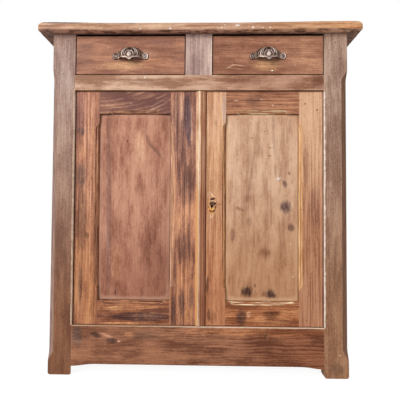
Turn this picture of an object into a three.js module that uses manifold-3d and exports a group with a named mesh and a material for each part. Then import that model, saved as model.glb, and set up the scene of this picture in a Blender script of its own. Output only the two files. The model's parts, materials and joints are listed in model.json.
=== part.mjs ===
// Jelly cupboard: two drawers over two panelled doors, framed in soft wood.
// Millimetres, +Z up, the doors face -Y, the origin is on the floor under the middle of the top.
import * as THREE from 'three';
import { mergeVertices } from 'three/addons/utils/BufferGeometryUtils.js';
import Module from 'manifold-3d';

const wasm = await Module();
wasm.setup();

// Fits and working allowances
const fit = 0.3; // gap between a glued or housed piece and its seat
const overrun = 5; // how far a cut reaches past the wood that it cuts
const grid = 1 / 1024; // every corner is rounded to this, so faces that touch share one plane

// Top board
const topWidth = 948;
const topDepth = 470;
const topThickness = 28;
const topCornerRadius = 7;
const topFrontRoundWidth = 12;
const topEndRoundWidth = 30;
const topUpperRoundHeight = 14;
const topLowerRound = 4;
const topFrontOverhang = 28.5;
const topRearOverhang = 5.5;
const topSideOverhang = 37;
const totalHeight = 1037;

// Posts
const postWidth = 67.5;
const frontPostDepth = 34;
const rearPostDepth = 48;
const leftHeadInset = 1.6;
const leftFootFlare = 1.2;
const rightHeadInset = 0.3;
const rightFootFlare = 3;
const leftFootCut = 13;
const leftChamferFace = 14.5;
const leftChamferSide = 9.2;
const leftChamferTopGap = 101;
const leftChamferBottomGap = 37;
const leftBottomStop = 34;
const rightChamferFace = 17.4;
const rightChamferSide = 13.5;
const rightChamferTopGap = 105;
const rightChamferBottomGap = 44;
const rightBottomStop = 42;
const postTopStop = 38;
const leftWornArris = 2.8;
const rightWornArris = 4.8;
const postWornStop = 6;
const footRound = 8;

// Front rails and the upright between the drawers
const drawerOpeningHeight = 123.9;
const middleRailHeight = 44.4;
const middleRailDepth = 48;
const railTenonLength = 30;
const railTenonThickness = 14;
const railTenonShoulder = 8;
const railTenonSetback = 10;
const apronTop = 144;
const apronHeight = 112;
const apronThickness = 32;
const apronTenonThickness = 10;
const apronTenonSetback = 10;
const apronTenonShoulder = 16;
const apronDrop = 6.2;
const apronDropRun = 68;
const dividerWidth = 78.8;
const dividerDepth = 30;
const dividerTenonLength = 14;
const dividerTopTenonLength = 7;
const dividerTenonInset = 12;
const dividerTenonBackInset = 6;

// Sides and back
const sideThickness = 22;
const sideSetback = 3;
const sideTopRailHeight = 90;
const sideBottomRailBottom = 46;
const sideBottomRailHeight = 110;
const sidePanelThickness = 10;
const sideGrooveDepth = 8;
const sideTenonLength = 20;
const sideTenonThickness = 8;
const sideTenonShoulder = 15;
const backRailThickness = 22;
const backTopRailHeight = 80;
const runnerRailHeight = 50;
const backBoardCount = 4;
const backBoardThickness = 12;
const backBoardGap = 1.2;
const backBoardChamfer = 2.5;

// Floor and shelf
const floorThickness = 18;
const floorTongueLength = 6;
const floorTongueThickness = 8;
const shelfTop = 488;
const shelfThickness = 18;
const shelfFrontGap = 28;
const shelfEndGap = 1.5;
const shelfNosing = 4;
const cleatWidth = 28;
const cleatHeight = 30;

// Drawer runners
const runnerRise = 2.6;
const runnerHeight = 26;
const runnerLedge = 26;
const guideHeight = 28;
const guideClearance = 1;

// Drawers
const drawerFrontThickness = 22;
const drawerFrontSetback = 1.5;
const drawerFrontHeight = 114;
const drawerFrontGap = 3.2;
const drawerFrontRaise = 0.8;
const drawerRunGap = 0.4;
const drawerRearGap = 3;
const drawerSideThickness = 12;
const drawerSideHeight = 107;
const drawerBackThickness = 12;
const drawerBackDrop = 8;
const drawerBackInset = 6;
const drawerBackHousing = 3;
const drawerBottomInset = 3;
const drawerBottomThickness = 7;
const drawerBottomRaise = 10;
const drawerGroove = 6;
const dovetailCount = 3;
const dovetailLength = 14;
const dovetailRootShare = 0.44; // width of a tail at its root, as a share of the pitch
const dovetailTipShare = 0.66; // width of a tail at its tip, as a share of the pitch

// Cup pulls
const pullHalfWidth = 35;
const pullDepth = 22;
const pullRise = 35.4;
const pullRimZ = -14;
const pullWall = 2;
const pullLobeDrop = 8.3;
const pullLobeHalfWidth = 12;
const pullScallop = 2.4;
const pullScallops = 2;
const pullDropPower = 4; // how late the hood bends to its lobe on the way to the rim
const pullFullness = 0.83; // under 1, the hood's outline is fuller than an ellipse
const pullBead = 1.5;
const pullBeadRows = 1.2; // width of the rim's bead, in rows of the hood
const pullFlange = 2.6;
const pullFlangeThickness = 2;
const earCentreX = 44.8;
const earCentreZ = -4;
const earHalfWidth = 9.5;
const earHalfHeight = 10.5;
const earThickness = 4;
const earRecessRadius = 5;
const earRecessDepth = 1.6;
const earBridgeHalfHeight = 7.5;
const earBridgeShoulder = 13; // how high over the ears' middle the bridge meets the hood
const earEdgeShares = [[1, 0.5], [0.85, 0.9], [0.7, 1]]; // of an ear's half width and thickness
const earDishShare = 0.9;
const leafHalfWidth = 5.4;
const leafHalfHeight = 9.5;
const leafHeight = 2.2;
const leafVeinWidth = 0.9;
const leafVeinShare = 0.5; // depth of the vein, as a share of the leaf's height
const leafCentreZ = -7;
const bandHalfWidth = 12.6; // a raised band round the leaf, drawn up to a point
const bandTip = 27;
const bandFoot = 15;
const bandTipPower = 0.8;
const bandTipSwell = 0.9;
const ribPitch = 5.8;
const ribCount = 3; // the band itself, then two ribs outside it
const ribWidth = 1.5;
const ribHeight = 2.2;
const reliefFadePower = 6; // how late the relief fades on the way to the rim
const pullColumns = 40;
const pullRows = 14;

// Doors
const doorSetback = 9;
const doorThickness = 22;
const doorTopGap = 2.1;
const doorBottomGap = 2;
const leftHingeGap = 2.2;
const rightHingeGap = 2.2;
const meetingEdgeX = 22.2;
const meetingGap = 2.2;
const leftHingeStileWidth = 69.6;
const meetingStileWidth = 76;
const lockStileWidth = 57.3;
const rightHingeStileWidth = 69;
const doorTopRailHeight = 66;
const doorBottomRailHeight = 70;
const doorTenonLength = 38;
const doorTenonThickness = 7;
const doorTenonInset = 13;
const panelGrooveSet = 9;
const panelThickness = 7;
const panelTongue = 8;
const panelGrooveDepth = 9;
const panelFieldRise = 2.4;
const panelFieldMargin = 20;
const frameMouldWidth = 10;
const frameMouldDepth = 7.5;
const frameMouldShares = [[1, 0], [0.72, 0.36], [0.42, 0.46], [0, 1]]; // of the moulding's width and depth
const stileMouldTopMargin = 22;
const stileMouldBottomMargin = 30;
const topRailMouldMargin = 24;
const bottomRailMouldMargin = 5;
const frameMouldStop = 22;

// Astragal: a moulded strip on the edge of the left door
const astragalWidth = 29;
const astragalProud = 8;
const astragalSlope = 6.5;
const astragalCrown = 7.5;
const astragalHollowWidth = 8;
const astragalHollowDepth = 4.5;
const astragalHollowShare = 0.7; // how far the hollow has fallen at its middle
const astragalQuirkWidth = 1.6;
const astragalQuirkDepth = 3;
const astragalArris = 1.2;

// Door pivots: pins let into the ends of the hinge stiles
const pivotInset = 13;
const pivotSetback = 6.5;
const pivotRadius = 3;
const pivotCollarRadius = 6;
const pivotDoorDepth = 18;
const pivotRailDepth = 13;

// Stop strip behind the doors, bored for the slide bolt
const stopStripHeight = 14;
const stopStripDepth = 16;
const stopStripGap = 0.8;
const stopStripEndGap = 52;

// Slide bolt on the back of the left door
const boltAxisX = -48;
const boltRadius = 3.5;
const boltBore = 4;
const boltPlateThickness = 2;
const boltPlateWidth = 26;
const boltPlateHeight = 74;
const boltCaseWall = 2.4;
const boltTopGap = 3;
const boltPlateDrop = 8;
const boltTail = 18;
const boltKnobRadius = 3;
const boltKnobLength = 9;
const boltKnobSlotRise = 16;
const boltTravel = 10;
const boltKeeperDepth = 12;

// Lock in the back of the right door
const lockHeight = 497;
const lockBackset = 16.9;
const lockCaseWidth = 44;
const lockCaseHeight = 58;
const lockCaseThickness = 13.7;
const lockCaseWall = 2;
const lockBoltHeight = 16;
const lockBoltThickness = 4;
const lockBoltLength = 34;
const lockBoltRise = 5;
const lockBoltInset = 1;
const lockTalonWidth = 9;
const lockTalonDepth = 5;
const lockMortiseDepth = 10;
const lockRunGap = 0.4;
const keyholeRadius = 4.2;
const keyholeSlotWidth = 4.8;
const keyholeSlotDrop = 10;

// Facets
const roundSegments = 24;
const cornerSegments = 8;
const edgeSegments = 5;
const stopSteps = 6;
const ogeeSteps = 6;

// Planes and heights that more than one piece uses
const halfTopDepth = topDepth / 2;
const frontY = topFrontOverhang - halfTopDepth;
const backY = halfTopDepth - topRearOverhang;
const halfTopWidth = topWidth / 2;
const halfCarcass = halfTopWidth - topSideOverhang;
const halfOpening = halfCarcass - postWidth;
const postHeight = totalHeight - topThickness;
const rearPostY = backY - rearPostDepth;
const frontPostBackY = frontY + frontPostDepth;
const middleRailBackY = frontY + middleRailDepth;
const sideOuterX = halfCarcass - sideSetback;
const sideInnerX = sideOuterX - sideThickness;
const sideMidX = (sideOuterX + sideInnerX) / 2;
const panelInnerX = sideMidX - sidePanelThickness / 2;
const sideTopRailBottom = postHeight - sideTopRailHeight;
const sideBottomRailTop = sideBottomRailBottom + sideBottomRailHeight;
const middleRailTop = postHeight - drawerOpeningHeight;
const middleRailBottom = middleRailTop - middleRailHeight;
const apronBottom = apronTop - apronHeight;
const floorBottom = apronTop - floorThickness;
const halfDivider = dividerWidth / 2;
const runnerTop = middleRailTop + runnerRise;
const drawerBase = runnerTop + drawerRunGap;
const drawerOuterX = halfOpening - drawerFrontGap;
const drawerInnerX = halfDivider + drawerFrontGap;
const drawerFrontY = frontY + drawerFrontSetback;
const drawerEndY = rearPostY - drawerRearGap;
const doorFrontY = frontY + doorSetback;
const doorBackY = doorFrontY + doorThickness;
const doorBottom = apronTop + doorBottomGap;
const doorTop = middleRailBottom - doorTopGap;
const leftDoorX = leftHingeGap - halfOpening;
const rightDoorX = halfOpening - rightHingeGap;
const astragalX = meetingEdgeX - astragalWidth;
const lockEdgeX = meetingEdgeX + meetingGap;
const pivotY = doorFrontY + pivotSetback;
const stopStripY = doorBackY + stopStripGap;
const stopStripBottom = middleRailBottom - stopStripHeight;
const boltAxisY = doorBackY + boltPlateThickness + boltBore + boltCaseWall / 2;
const keyholeX = lockEdgeX + lockBackset;

// Finishes
function finish(color, roughness, metalness) {
  return new THREE.MeshStandardMaterial({ color, roughness, metalness });
}

const greyWood = finish('#a08472', 0.8, 0);
const brownWood = finish('#96674a', 0.75, 0);
const tanWood = finish('#bb9678', 0.78, 0);
const redWood = finish('#a26a50', 0.7, 0);
const orangeWood = finish('#b47a54', 0.72, 0);
const paleWood = finish('#c39a74', 0.78, 0);
const innerWood = finish('#a98a68', 0.85, 0);
const castNickel = finish('#9a8f86', 0.4, 0.9);
const wornBrass = finish('#a88b52', 0.45, 0.9);
const ironwork = finish('#4a4643', 0.6, 0.8);

// A closed geometry becomes a solid that can be cut and joined
function solid(geometry) {
  const bare = geometry.clone();
  bare.deleteAttribute('normal');
  bare.deleteAttribute('uv');
  const merged = mergeVertices(bare);
  const vertProperties = new Float32Array(merged.attributes.position.array);
  const triVerts = new Uint32Array(merged.index.array);
  return new wasm.Manifold(new wasm.Mesh({ numProp: 3, vertProperties, triVerts }));
}

// A finished solid becomes a geometry, its corners rounded to the grid
function geometryOf(body) {
  const mesh = body.getMesh();
  const positions = Float32Array.from(mesh.vertProperties, (value) => Math.round(value / grid) * grid);
  const geometry = new THREE.BufferGeometry();
  geometry.setAttribute('position', new THREE.BufferAttribute(positions, 3));
  geometry.setIndex(new THREE.BufferAttribute(mesh.triVerts, 1));
  geometry.computeVertexNormals();
  return geometry;
}

const cupboard = new THREE.Group();

function place(name, body, material) {
  const mesh = new THREE.Mesh(geometryOf(body), material);
  mesh.name = name;
  cupboard.add(mesh);
}

// A board between two limits on each axis
function board([x0, x1], [y0, y1], [z0, z1]) {
  const box = new THREE.BoxGeometry(Math.abs(x1 - x0), Math.abs(y1 - y0), Math.abs(z1 - z0));
  return solid(box.translate((x0 + x1) / 2, (y0 + y1) / 2, (z0 + z1) / 2));
}

function outline(points) {
  return new THREE.Shape(points.map(([a, b]) => new THREE.Vector2(a, b)));
}

function extrude(shape, depth, axes, origin) {
  const settings = { depth, bevelEnabled: false, curveSegments: cornerSegments };
  const geometry = new THREE.ExtrudeGeometry(shape, settings);
  const basis = new THREE.Matrix4().makeBasis(...axes).setPosition(origin);
  return solid(geometry.applyMatrix4(basis));
}

const xAxis = new THREE.Vector3(1, 0, 0);
const yAxis = new THREE.Vector3(0, 1, 0);
const zAxis = new THREE.Vector3(0, 0, 1);

// An outline drawn in y and z, extruded from x0 to x1
function alongX(shape, x0, x1) {
  return extrude(shape, x1 - x0, [yAxis, zAxis, xAxis], new THREE.Vector3(x0, 0, 0));
}

// An outline drawn in x and z, extruded between y0 and y1
function alongY(shape, y0, y1) {
  const back = yAxis.clone().negate();
  return extrude(shape, y1 - y0, [xAxis, zAxis, back], new THREE.Vector3(0, y1, 0));
}

// An outline drawn in x and y, extruded from z0 to z1
function alongZ(shape, z0, z1) {
  return extrude(shape, z1 - z0, [xAxis, yAxis, zAxis], new THREE.Vector3(0, 0, z0));
}

// An upright round bar or bore
function uprightRod(radius, x, y, z0, z1) {
  const rod = new THREE.CylinderGeometry(radius, radius, z1 - z0, roundSegments);
  rod.rotateX(Math.PI / 2);
  return solid(rod.translate(x, y, (z0 + z1) / 2));
}

function signedVolume(positions, triangles) {
  const [a, b, c] = [new THREE.Vector3(), new THREE.Vector3(), new THREE.Vector3()];
  let sum = 0;
  triangles.forEach(([i, j, k]) => {
    a.fromArray(positions, i * 3);
    b.fromArray(positions, j * 3);
    c.fromArray(positions, k * 3);
    sum += a.dot(b.cross(c));
  });
  return sum;
}

// Points and triangles become a solid, turned the right way out
function solidFromTriangles(points, triangles) {
  const positions = new Float32Array(points.flatMap((point) => point.toArray()));
  const outward = signedVolume(positions, triangles) > 0;
  const ordered = outward ? triangles : triangles.map(([i, j, k]) => [i, k, j]);
  const geometry = new THREE.BufferGeometry();
  geometry.setAttribute('position', new THREE.BufferAttribute(positions, 3));
  geometry.setIndex(ordered.flat());
  return solid(geometry);
}

// A skin over a row of sections with the same number of points, each seen whole from its first point
function loft(sections) {
  const size = sections[0].length;
  const triangles = [];
  for (let s = 0; s + 1 < sections.length; s += 1) {
    for (let i = 0; i < size; i += 1) {
      const a = s * size + i;
      const b = s * size + ((i + 1) % size);
      triangles.push([a, b, b + size], [a, b + size, a + size]);
    }
  }
  const last = (sections.length - 1) * size;
  for (let i = 1; i + 1 < size; i += 1) {
    triangles.push([0, i + 1, i], [last, last + i, last + i + 1]);
  }
  return solidFromTriangles(sections.flat(), triangles);
}

// The wood that a stopped chamfer or moulding takes off a corner. It swells from next to nothing
// to its full legs over each stop, in the curve of a lamb's tongue. shares are the corners of a
// moulding between its legs, and a plain chamfer has none.
function stoppedChamfer(corner, along, length, legA, legB, startStop, endStop, shares = []) {
  const steps = Array.from({ length: stopSteps + 1 }, (_, i) => i / stopSteps);
  const leastShare = 0.02;
  const swell = (share) => leastShare + (1 - leastShare) * (1 - Math.cos(Math.PI * share)) / 2;
  const stations = [
    ...steps.map((share) => [share * startStop, swell(share)]),
    ...steps.map((share) => [length - endStop + share * endStop, swell(1 - share)]),
  ];
  const spareShare = 0.3;
  const section = ([distance, size]) => {
    const at = (a, b) => corner.clone()
      .addScaledVector(along, distance)
      .addScaledVector(legA, a)
      .addScaledVector(legB, b);
    const full = size + spareShare;
    const corners = shares.map(([a, b]) => at(a * size, b * size));
    return [at(-spareShare, -spareShare), at(full, -spareShare), ...corners, at(-spareShare, full)];
  };
  return loft(stations.map(section));
}

function cutAll(body, cutters) {
  return cutters.reduce((rest, cutter) => rest.subtract(cutter), body);
}

function joinAll(bodies) {
  return bodies.reduce((whole, body) => whole.add(body));
}

// Half of the top board's profile: a small round on its lower edge and a wide one on its upper edge
function topEdge(reach, upperWidth) {
  const quarter = (start, x, z, width, height) => Array.from({ length: edgeSegments + 1 }, (_, i) => {
    const angle = start + i / edgeSegments * Math.PI / 2;
    return [x + width * Math.cos(angle), z + height * Math.sin(angle)];
  });
  return [
    ...quarter(-Math.PI / 2, reach - topLowerRound, postHeight + topLowerRound, topLowerRound, topLowerRound),
    ...quarter(0, reach - upperWidth, totalHeight - topUpperRoundHeight, upperWidth, topUpperRoundHeight),
  ];
}

// Top board, its ends worn rounder than its front, square at the back
function topBoard() {
  const end = topEdge(halfTopWidth, topEndRoundWidth);
  const front = topEdge(halfTopDepth, topFrontRoundWidth);
  const ends = outline([...end, ...end.map(([x, z]) => [-x, z]).reverse()]);
  const back = [[halfTopDepth, totalHeight], [halfTopDepth, postHeight]];
  const depth = outline([...front.map(([y, z]) => [-y, z]), ...back]);
  const cornerX = halfTopWidth - topCornerRadius;
  const cornerY = topCornerRadius - halfTopDepth;
  const shape = new THREE.Shape();
  shape.moveTo(-halfTopWidth, halfTopDepth + overrun);
  shape.lineTo(-halfTopWidth, cornerY);
  shape.absarc(-cornerX, cornerY, topCornerRadius, Math.PI, 1.5 * Math.PI, false);
  shape.absarc(cornerX, cornerY, topCornerRadius, 1.5 * Math.PI, 2 * Math.PI, false);
  shape.lineTo(halfTopWidth, halfTopDepth + overrun);
  const plate = alongX(depth, -halfTopWidth - overrun, halfTopWidth + overrun)
    .intersect(alongY(ends, -halfTopDepth - overrun, halfTopDepth + overrun))
    .intersect(alongZ(shape, postHeight - overrun, totalHeight + overrun));
  return plate.subtract(dividerTenon(postHeight - overrun, postHeight + dividerTopTenonLength + fit, fit));
}

// The tenon that holds the upright between the drawers, grown by a clearance where it is a mortise
function dividerTenon(z0, z1, clearance) {
  const half = halfDivider - dividerTenonInset + clearance;
  const y0 = frontY + dividerTenonInset - clearance;
  const y1 = frontY + dividerDepth - dividerTenonBackInset + clearance;
  return board([-half, half], [y0, y1], [z0, z1]);
}

// The panel grooves and mortises that a post takes for one side of the cupboard.
// side is -1 on the left and 1 on the right; facing is 1 where the wood is behind the post.
function sideJoinery(side, faceY, facing) {
  const grooveHalf = sidePanelThickness / 2 + fit;
  const grooveX = [side * sideMidX - grooveHalf, side * sideMidX + grooveHalf];
  const grooveY = [faceY - facing * (sideGrooveDepth + fit), faceY + facing * overrun];
  const groove = board(grooveX, grooveY,
    [sideBottomRailTop - sideGrooveDepth - fit, sideTopRailBottom + sideGrooveDepth + fit]);
  const tenonHalf = sideTenonThickness / 2 + fit;
  const mortiseX = [side * sideMidX - tenonHalf, side * sideMidX + tenonHalf];
  const mortiseY = [faceY - facing * (sideTenonLength + fit), faceY + facing * overrun];
  const spans = [
    [sideTopRailBottom + sideTenonShoulder, postHeight - sideTenonShoulder],
    [sideBottomRailBottom + sideTenonShoulder, sideBottomRailTop - sideTenonShoulder],
  ];
  return [groove, ...spans.map(([low, high]) => board(mortiseX, mortiseY, [low - fit, high + fit]))];
}

// A mortise in the inner face of a post for a rail that runs from side to side
function railMortise(side, length, [y0, y1], [z0, z1]) {
  const x = [side * (halfOpening - overrun), side * (halfOpening + length + fit)];
  return board(x, [y0 - fit, y1 + fit], [z0 - fit, z1 + fit]);
}

const middleTenonY = [frontY + railTenonSetback, frontY + railTenonSetback + railTenonThickness];
const middleTenonZ = [middleRailBottom + railTenonShoulder, middleRailTop - railTenonShoulder];
const apronTenonY = [frontY + apronTenonSetback, frontY + apronTenonSetback + apronTenonThickness];
const apronTenonZ = [apronBottom + apronTenonShoulder, apronTop - railTenonShoulder];
const backTenonInset = (backRailThickness - sideTenonThickness) / 2;
const backTenonY = [rearPostY + backTenonInset, rearPostY + backTenonInset + sideTenonThickness];
const backRails = {
  back_top_rail: [postHeight - backTopRailHeight, postHeight],
  rear_runner_rail: [runnerTop - runnerRailHeight, runnerTop],
  back_bottom_rail: [sideBottomRailBottom, sideBottomRailTop],
};

// A post's outer face leans out a little towards the floor
function postOuterX(side, z) {
  const flare = side < 0 ? leftFootFlare : rightFootFlare;
  const inset = side < 0 ? leftHeadInset : rightHeadInset;
  return side * (halfCarcass + flare - (flare + inset) * z / postHeight);
}

// A post seen from the front, with the edges of its foot eased
function postBlank(side, y0, y1) {
  const inner = side * halfOpening;
  const outer = postOuterX(side, footRound);
  const shape = new THREE.Shape();
  shape.moveTo(inner, postHeight);
  shape.lineTo(inner, footRound);
  shape.quadraticCurveTo(inner, 0, inner + side * footRound, 0);
  shape.lineTo(outer - side * footRound, 0);
  shape.quadraticCurveTo(outer, 0, outer, footRound);
  shape.lineTo(postOuterX(side, postHeight), postHeight);
  return alongY(shape, y0, y1);
}

// The stopped chamfer on a front post's outer corner
function postChamfer(side) {
  const left = side < 0;
  const low = left ? leftChamferBottomGap : rightChamferBottomGap;
  const high = postHeight - (left ? leftChamferTopGap : rightChamferTopGap);
  const foot = new THREE.Vector3(postOuterX(side, low), frontY, low);
  const run = new THREE.Vector3(postOuterX(side, high), frontY, high).sub(foot);
  const inward = xAxis.clone().multiplyScalar(-side * (left ? leftChamferFace : rightChamferFace));
  const backward = yAxis.clone().multiplyScalar(left ? leftChamferSide : rightChamferSide);
  return stoppedChamfer(foot, run.clone().normalize(), run.length(), inward, backward,
    left ? leftBottomStop : rightBottomStop, postTopStop);
}

// The left foot's inner back corner is cut away below the apron
function footCut() {
  const back = frontPostBackY + overrun;
  const reach = leftFootCut * (back - frontY) / frontPostDepth;
  const shape = outline([
    [-halfOpening, frontY],
    [overrun - halfOpening, frontY],
    [overrun - halfOpening, back],
    [-halfOpening - reach, back],
  ]);
  return alongZ(shape, -overrun, apronBottom - apronDrop);
}

function frontPost(side) {
  const innerCorner = new THREE.Vector3(side * halfOpening, frontY, apronTop);
  const wornArris = side < 0 ? leftWornArris : rightWornArris;
  const wornLegX = xAxis.clone().multiplyScalar(side * wornArris);
  const wornLegY = yAxis.clone().multiplyScalar(wornArris);
  const worn = stoppedChamfer(innerCorner, zAxis, middleRailBottom - apronTop, wornLegX, wornLegY,
    postWornStop, postWornStop);
  return cutAll(postBlank(side, frontY, frontPostBackY), [
    postChamfer(side),
    worn,
    ...(side < 0 ? [footCut()] : []),
    railMortise(side, railTenonLength, middleTenonY, middleTenonZ),
    railMortise(side, railTenonLength, apronTenonY, apronTenonZ),
    ...sideJoinery(side, frontPostBackY, 1),
  ]);
}

function rearPost(side) {
  const mortises = Object.values(backRails).map(([low, high]) =>
    railMortise(side, sideTenonLength, backTenonY, [low + sideTenonShoulder, high - sideTenonShoulder]));
  return cutAll(postBlank(side, rearPostY, backY), [...mortises, ...sideJoinery(side, rearPostY, -1)]);
}

// Middle rail with its tenons, the divider's mortise and the bores of the upper door pivots
function middleRail() {
  const reach = halfOpening + railTenonLength;
  const body = board([-halfOpening, halfOpening], [frontY, middleRailBackY],
    [middleRailBottom, middleRailTop]);
  const tenons = board([-reach, reach], middleTenonY, middleTenonZ);
  const bores = [leftPivotX, rightPivotX].map((x) => uprightRod(pivotRadius + fit, x, pivotY,
    middleRailBottom - overrun, middleRailBottom + pivotRailDepth + fit));
  const mortise = dividerTenon(middleRailTop - dividerTenonLength - fit, middleRailTop + overrun, fit);
  return cutAll(body.add(tenons), [...bores, mortise]);
}

const leftPivotX = leftDoorX + pivotInset;
const rightPivotX = rightDoorX - pivotInset;

// Apron with the small ogee at each end of its lower edge
function apronRail() {
  const steps = Array.from({ length: ogeeSteps + 1 }, (_, i) => i / ogeeSteps);
  const drop = (share) => apronBottom - apronDrop * (1 + Math.cos(Math.PI * share)) / 2;
  const leftEnd = steps.map((share) => [-halfOpening + share * apronDropRun, drop(share)]);
  const rightEnd = steps.map((share) => [halfOpening - share * apronDropRun, drop(share)]).reverse();
  const shape = outline([...leftEnd, ...rightEnd, [halfOpening, apronTop], [-halfOpening, apronTop]]);
  const body = alongY(shape, frontY, frontY + apronThickness);
  const reach = halfOpening + railTenonLength;
  const tenons = board([-reach, reach], apronTenonY, apronTenonZ);
  const bores = [leftPivotX, rightPivotX].map((x) => uprightRod(pivotRadius + fit, x, pivotY,
    apronTop - pivotRailDepth - fit, apronTop + overrun));
  return cutAll(body.add(tenons), bores);
}

function drawerDivider() {
  const body = board([-halfDivider, halfDivider], [frontY, frontY + dividerDepth],
    [middleRailTop, postHeight]);
  return body.add(dividerTenon(middleRailTop - dividerTenonLength, postHeight + dividerTopTenonLength, 0));
}

// A rail of the side frame, tenoned into both posts and grooved for the panel
function sideRail(side, low, high, grooveZ) {
  const x = [side * sideInnerX, side * sideOuterX];
  const body = board(x, [frontPostBackY, rearPostY], [low, high]);
  const tenonHalf = sideTenonThickness / 2;
  const tenons = board([side * sideMidX - tenonHalf, side * sideMidX + tenonHalf],
    [frontPostBackY - sideTenonLength, rearPostY + sideTenonLength],
    [low + sideTenonShoulder, high - sideTenonShoulder]);
  const grooveHalf = sidePanelThickness / 2 + fit;
  const groove = board([side * sideMidX - grooveHalf, side * sideMidX + grooveHalf],
    [frontPostBackY - overrun, rearPostY + overrun], grooveZ);
  return body.subtract(groove).add(tenons);
}

function sideTopRail(side) {
  return sideRail(side, sideTopRailBottom, postHeight,
    [sideTopRailBottom - overrun, sideTopRailBottom + sideGrooveDepth + fit]);
}

function sideBottomRail(side) {
  const rail = sideRail(side, sideBottomRailBottom, sideBottomRailTop,
    [sideBottomRailTop - sideGrooveDepth - fit, sideBottomRailTop + overrun]);
  const groove = board([side * (sideInnerX - overrun), side * (sideInnerX + floorTongueLength + fit)],
    [frontPostBackY, rearPostY], [floorBottom - fit, floorBottom + floorTongueThickness + fit]);
  return rail.subtract(groove);
}

function sidePanel(side) {
  const half = sidePanelThickness / 2;
  return board([side * sideMidX - half, side * sideMidX + half],
    [frontPostBackY - sideGrooveDepth, rearPostY + sideGrooveDepth],
    [sideBottomRailTop - sideGrooveDepth, sideTopRailBottom + sideGrooveDepth]);
}

function backRail([low, high]) {
  const reach = halfOpening + sideTenonLength;
  const body = board([-halfOpening, halfOpening], [rearPostY, rearPostY + backRailThickness], [low, high]);
  return body.add(board([-reach, reach], backTenonY, [low + sideTenonShoulder, high - sideTenonShoulder]));
}

// One upright board of the back, its outer long edges eased
function backBoard(index) {
  const pitch = 2 * (halfOpening - fit) / backBoardCount;
  const x0 = fit - halfOpening + index * pitch + backBoardGap / 2;
  const x1 = x0 + pitch - backBoardGap;
  const y0 = rearPostY + backRailThickness;
  const y1 = y0 + backBoardThickness;
  const shape = outline([
    [x0, y0],
    [x1, y0],
    [x1, y1 - backBoardChamfer],
    [x1 - backBoardChamfer, y1],
    [x0 + backBoardChamfer, y1],
    [x0, y1 - backBoardChamfer],
  ]);
  return alongZ(shape, sideBottomRailBottom, postHeight - fit);
}

// Floor of the cupboard, notched round the front posts and tongued into the side rails
function cabinetFloor() {
  const wide = sideInnerX - fit;
  const narrow = halfOpening - fit;
  const front = frontY + apronThickness + fit;
  const notch = frontPostBackY + fit;
  const back = rearPostY - fit;
  const shape = outline([
    [-narrow, front],
    [narrow, front],
    [narrow, notch],
    [wide, notch],
    [wide, back],
    [-wide, back],
    [-wide, notch],
    [-narrow, notch],
  ]);
  const reach = sideInnerX + floorTongueLength;
  const tongues = board([-reach, reach], [notch, back], [floorBottom, floorBottom + floorTongueThickness]);
  return alongZ(shape, floorBottom, apronTop).add(tongues);
}

// Shelf with an eased front edge
function shelf() {
  const front = frontPostBackY + shelfFrontGap;
  const back = rearPostY - fit;
  const bottom = shelfTop - shelfThickness;
  const shape = outline([
    [front, bottom],
    [back, bottom],
    [back, shelfTop],
    [front + shelfNosing, shelfTop],
    [front, shelfTop - shelfNosing],
  ]);
  const halfLength = panelInnerX - shelfEndGap;
  return alongX(shape, -halfLength, halfLength);
}

function shelfCleat(side) {
  const top = shelfTop - shelfThickness;
  const x = [side * (panelInnerX - fit - cleatWidth), side * (panelInnerX - fit)];
  return board(x, [frontPostBackY + fit, rearPostY - fit], [top - cleatHeight, top]);
}

const runnerY = [middleRailBackY + fit, rearPostY - fit];

// A runner at the side: a ledge that carries the drawer and a guide that keeps it straight
function sideRunner(side) {
  const guide = side * (drawerOuterX + guideClearance);
  const ledge = side * (drawerOuterX - runnerLedge);
  const wall = side * (panelInnerX - fit);
  const shape = outline([
    [ledge, runnerTop - runnerHeight],
    [wall, runnerTop - runnerHeight],
    [wall, runnerTop + guideHeight],
    [guide, runnerTop + guideHeight],
    [guide, runnerTop],
    [ledge, runnerTop],
  ]);
  return alongY(shape, ...runnerY);
}

// The runner under both drawers, with the guide between them
function middleRunner() {
  const guide = drawerInnerX - guideClearance;
  const ledge = drawerInnerX + runnerLedge;
  const shape = outline([
    [-ledge, runnerTop - runnerHeight],
    [ledge, runnerTop - runnerHeight],
    [ledge, runnerTop],
    [guide, runnerTop],
    [guide, runnerTop + guideHeight],
    [-guide, runnerTop + guideHeight],
    [-guide, runnerTop],
    [-ledge, runnerTop],
  ]);
  return alongY(shape, ...runnerY);
}

// Strip that the doors close against, bored where the slide bolt enters it
function doorStop() {
  const half = halfOpening - stopStripEndGap;
  const strip = board([-half, half], [stopStripY, stopStripY + stopStripDepth],
    [stopStripBottom, middleRailBottom]);
  const bore = uprightRod(boltBore + fit, boltAxisX, boltAxisY,
    stopStripBottom - overrun, stopStripBottom + boltKeeperDepth);
  return strip.subtract(bore);
}

// Outline in y and z of the dovetails at the front end of a drawer side
function dovetails(clearance) {
  const pitch = drawerSideHeight / dovetailCount;
  const rootY = drawerFrontY + drawerFrontThickness;
  const tipY = rootY - dovetailLength - clearance;
  return Array.from({ length: dovetailCount }, (_, i) => {
    const middle = drawerBase + i * pitch + pitch / 2;
    const root = pitch * dovetailRootShare / 2 + clearance;
    const tip = pitch * dovetailTipShare / 2 + clearance;
    const flare = (tip - root) * overrun / dovetailLength;
    return outline([
      [rootY + overrun, middle - root + flare],
      [rootY + overrun, middle + root - flare],
      [tipY, middle + tip],
      [tipY, middle - tip],
    ]);
  });
}

const bottomZ = [drawerBase + drawerBottomRaise, drawerBase + drawerBottomRaise + drawerBottomThickness];

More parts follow.
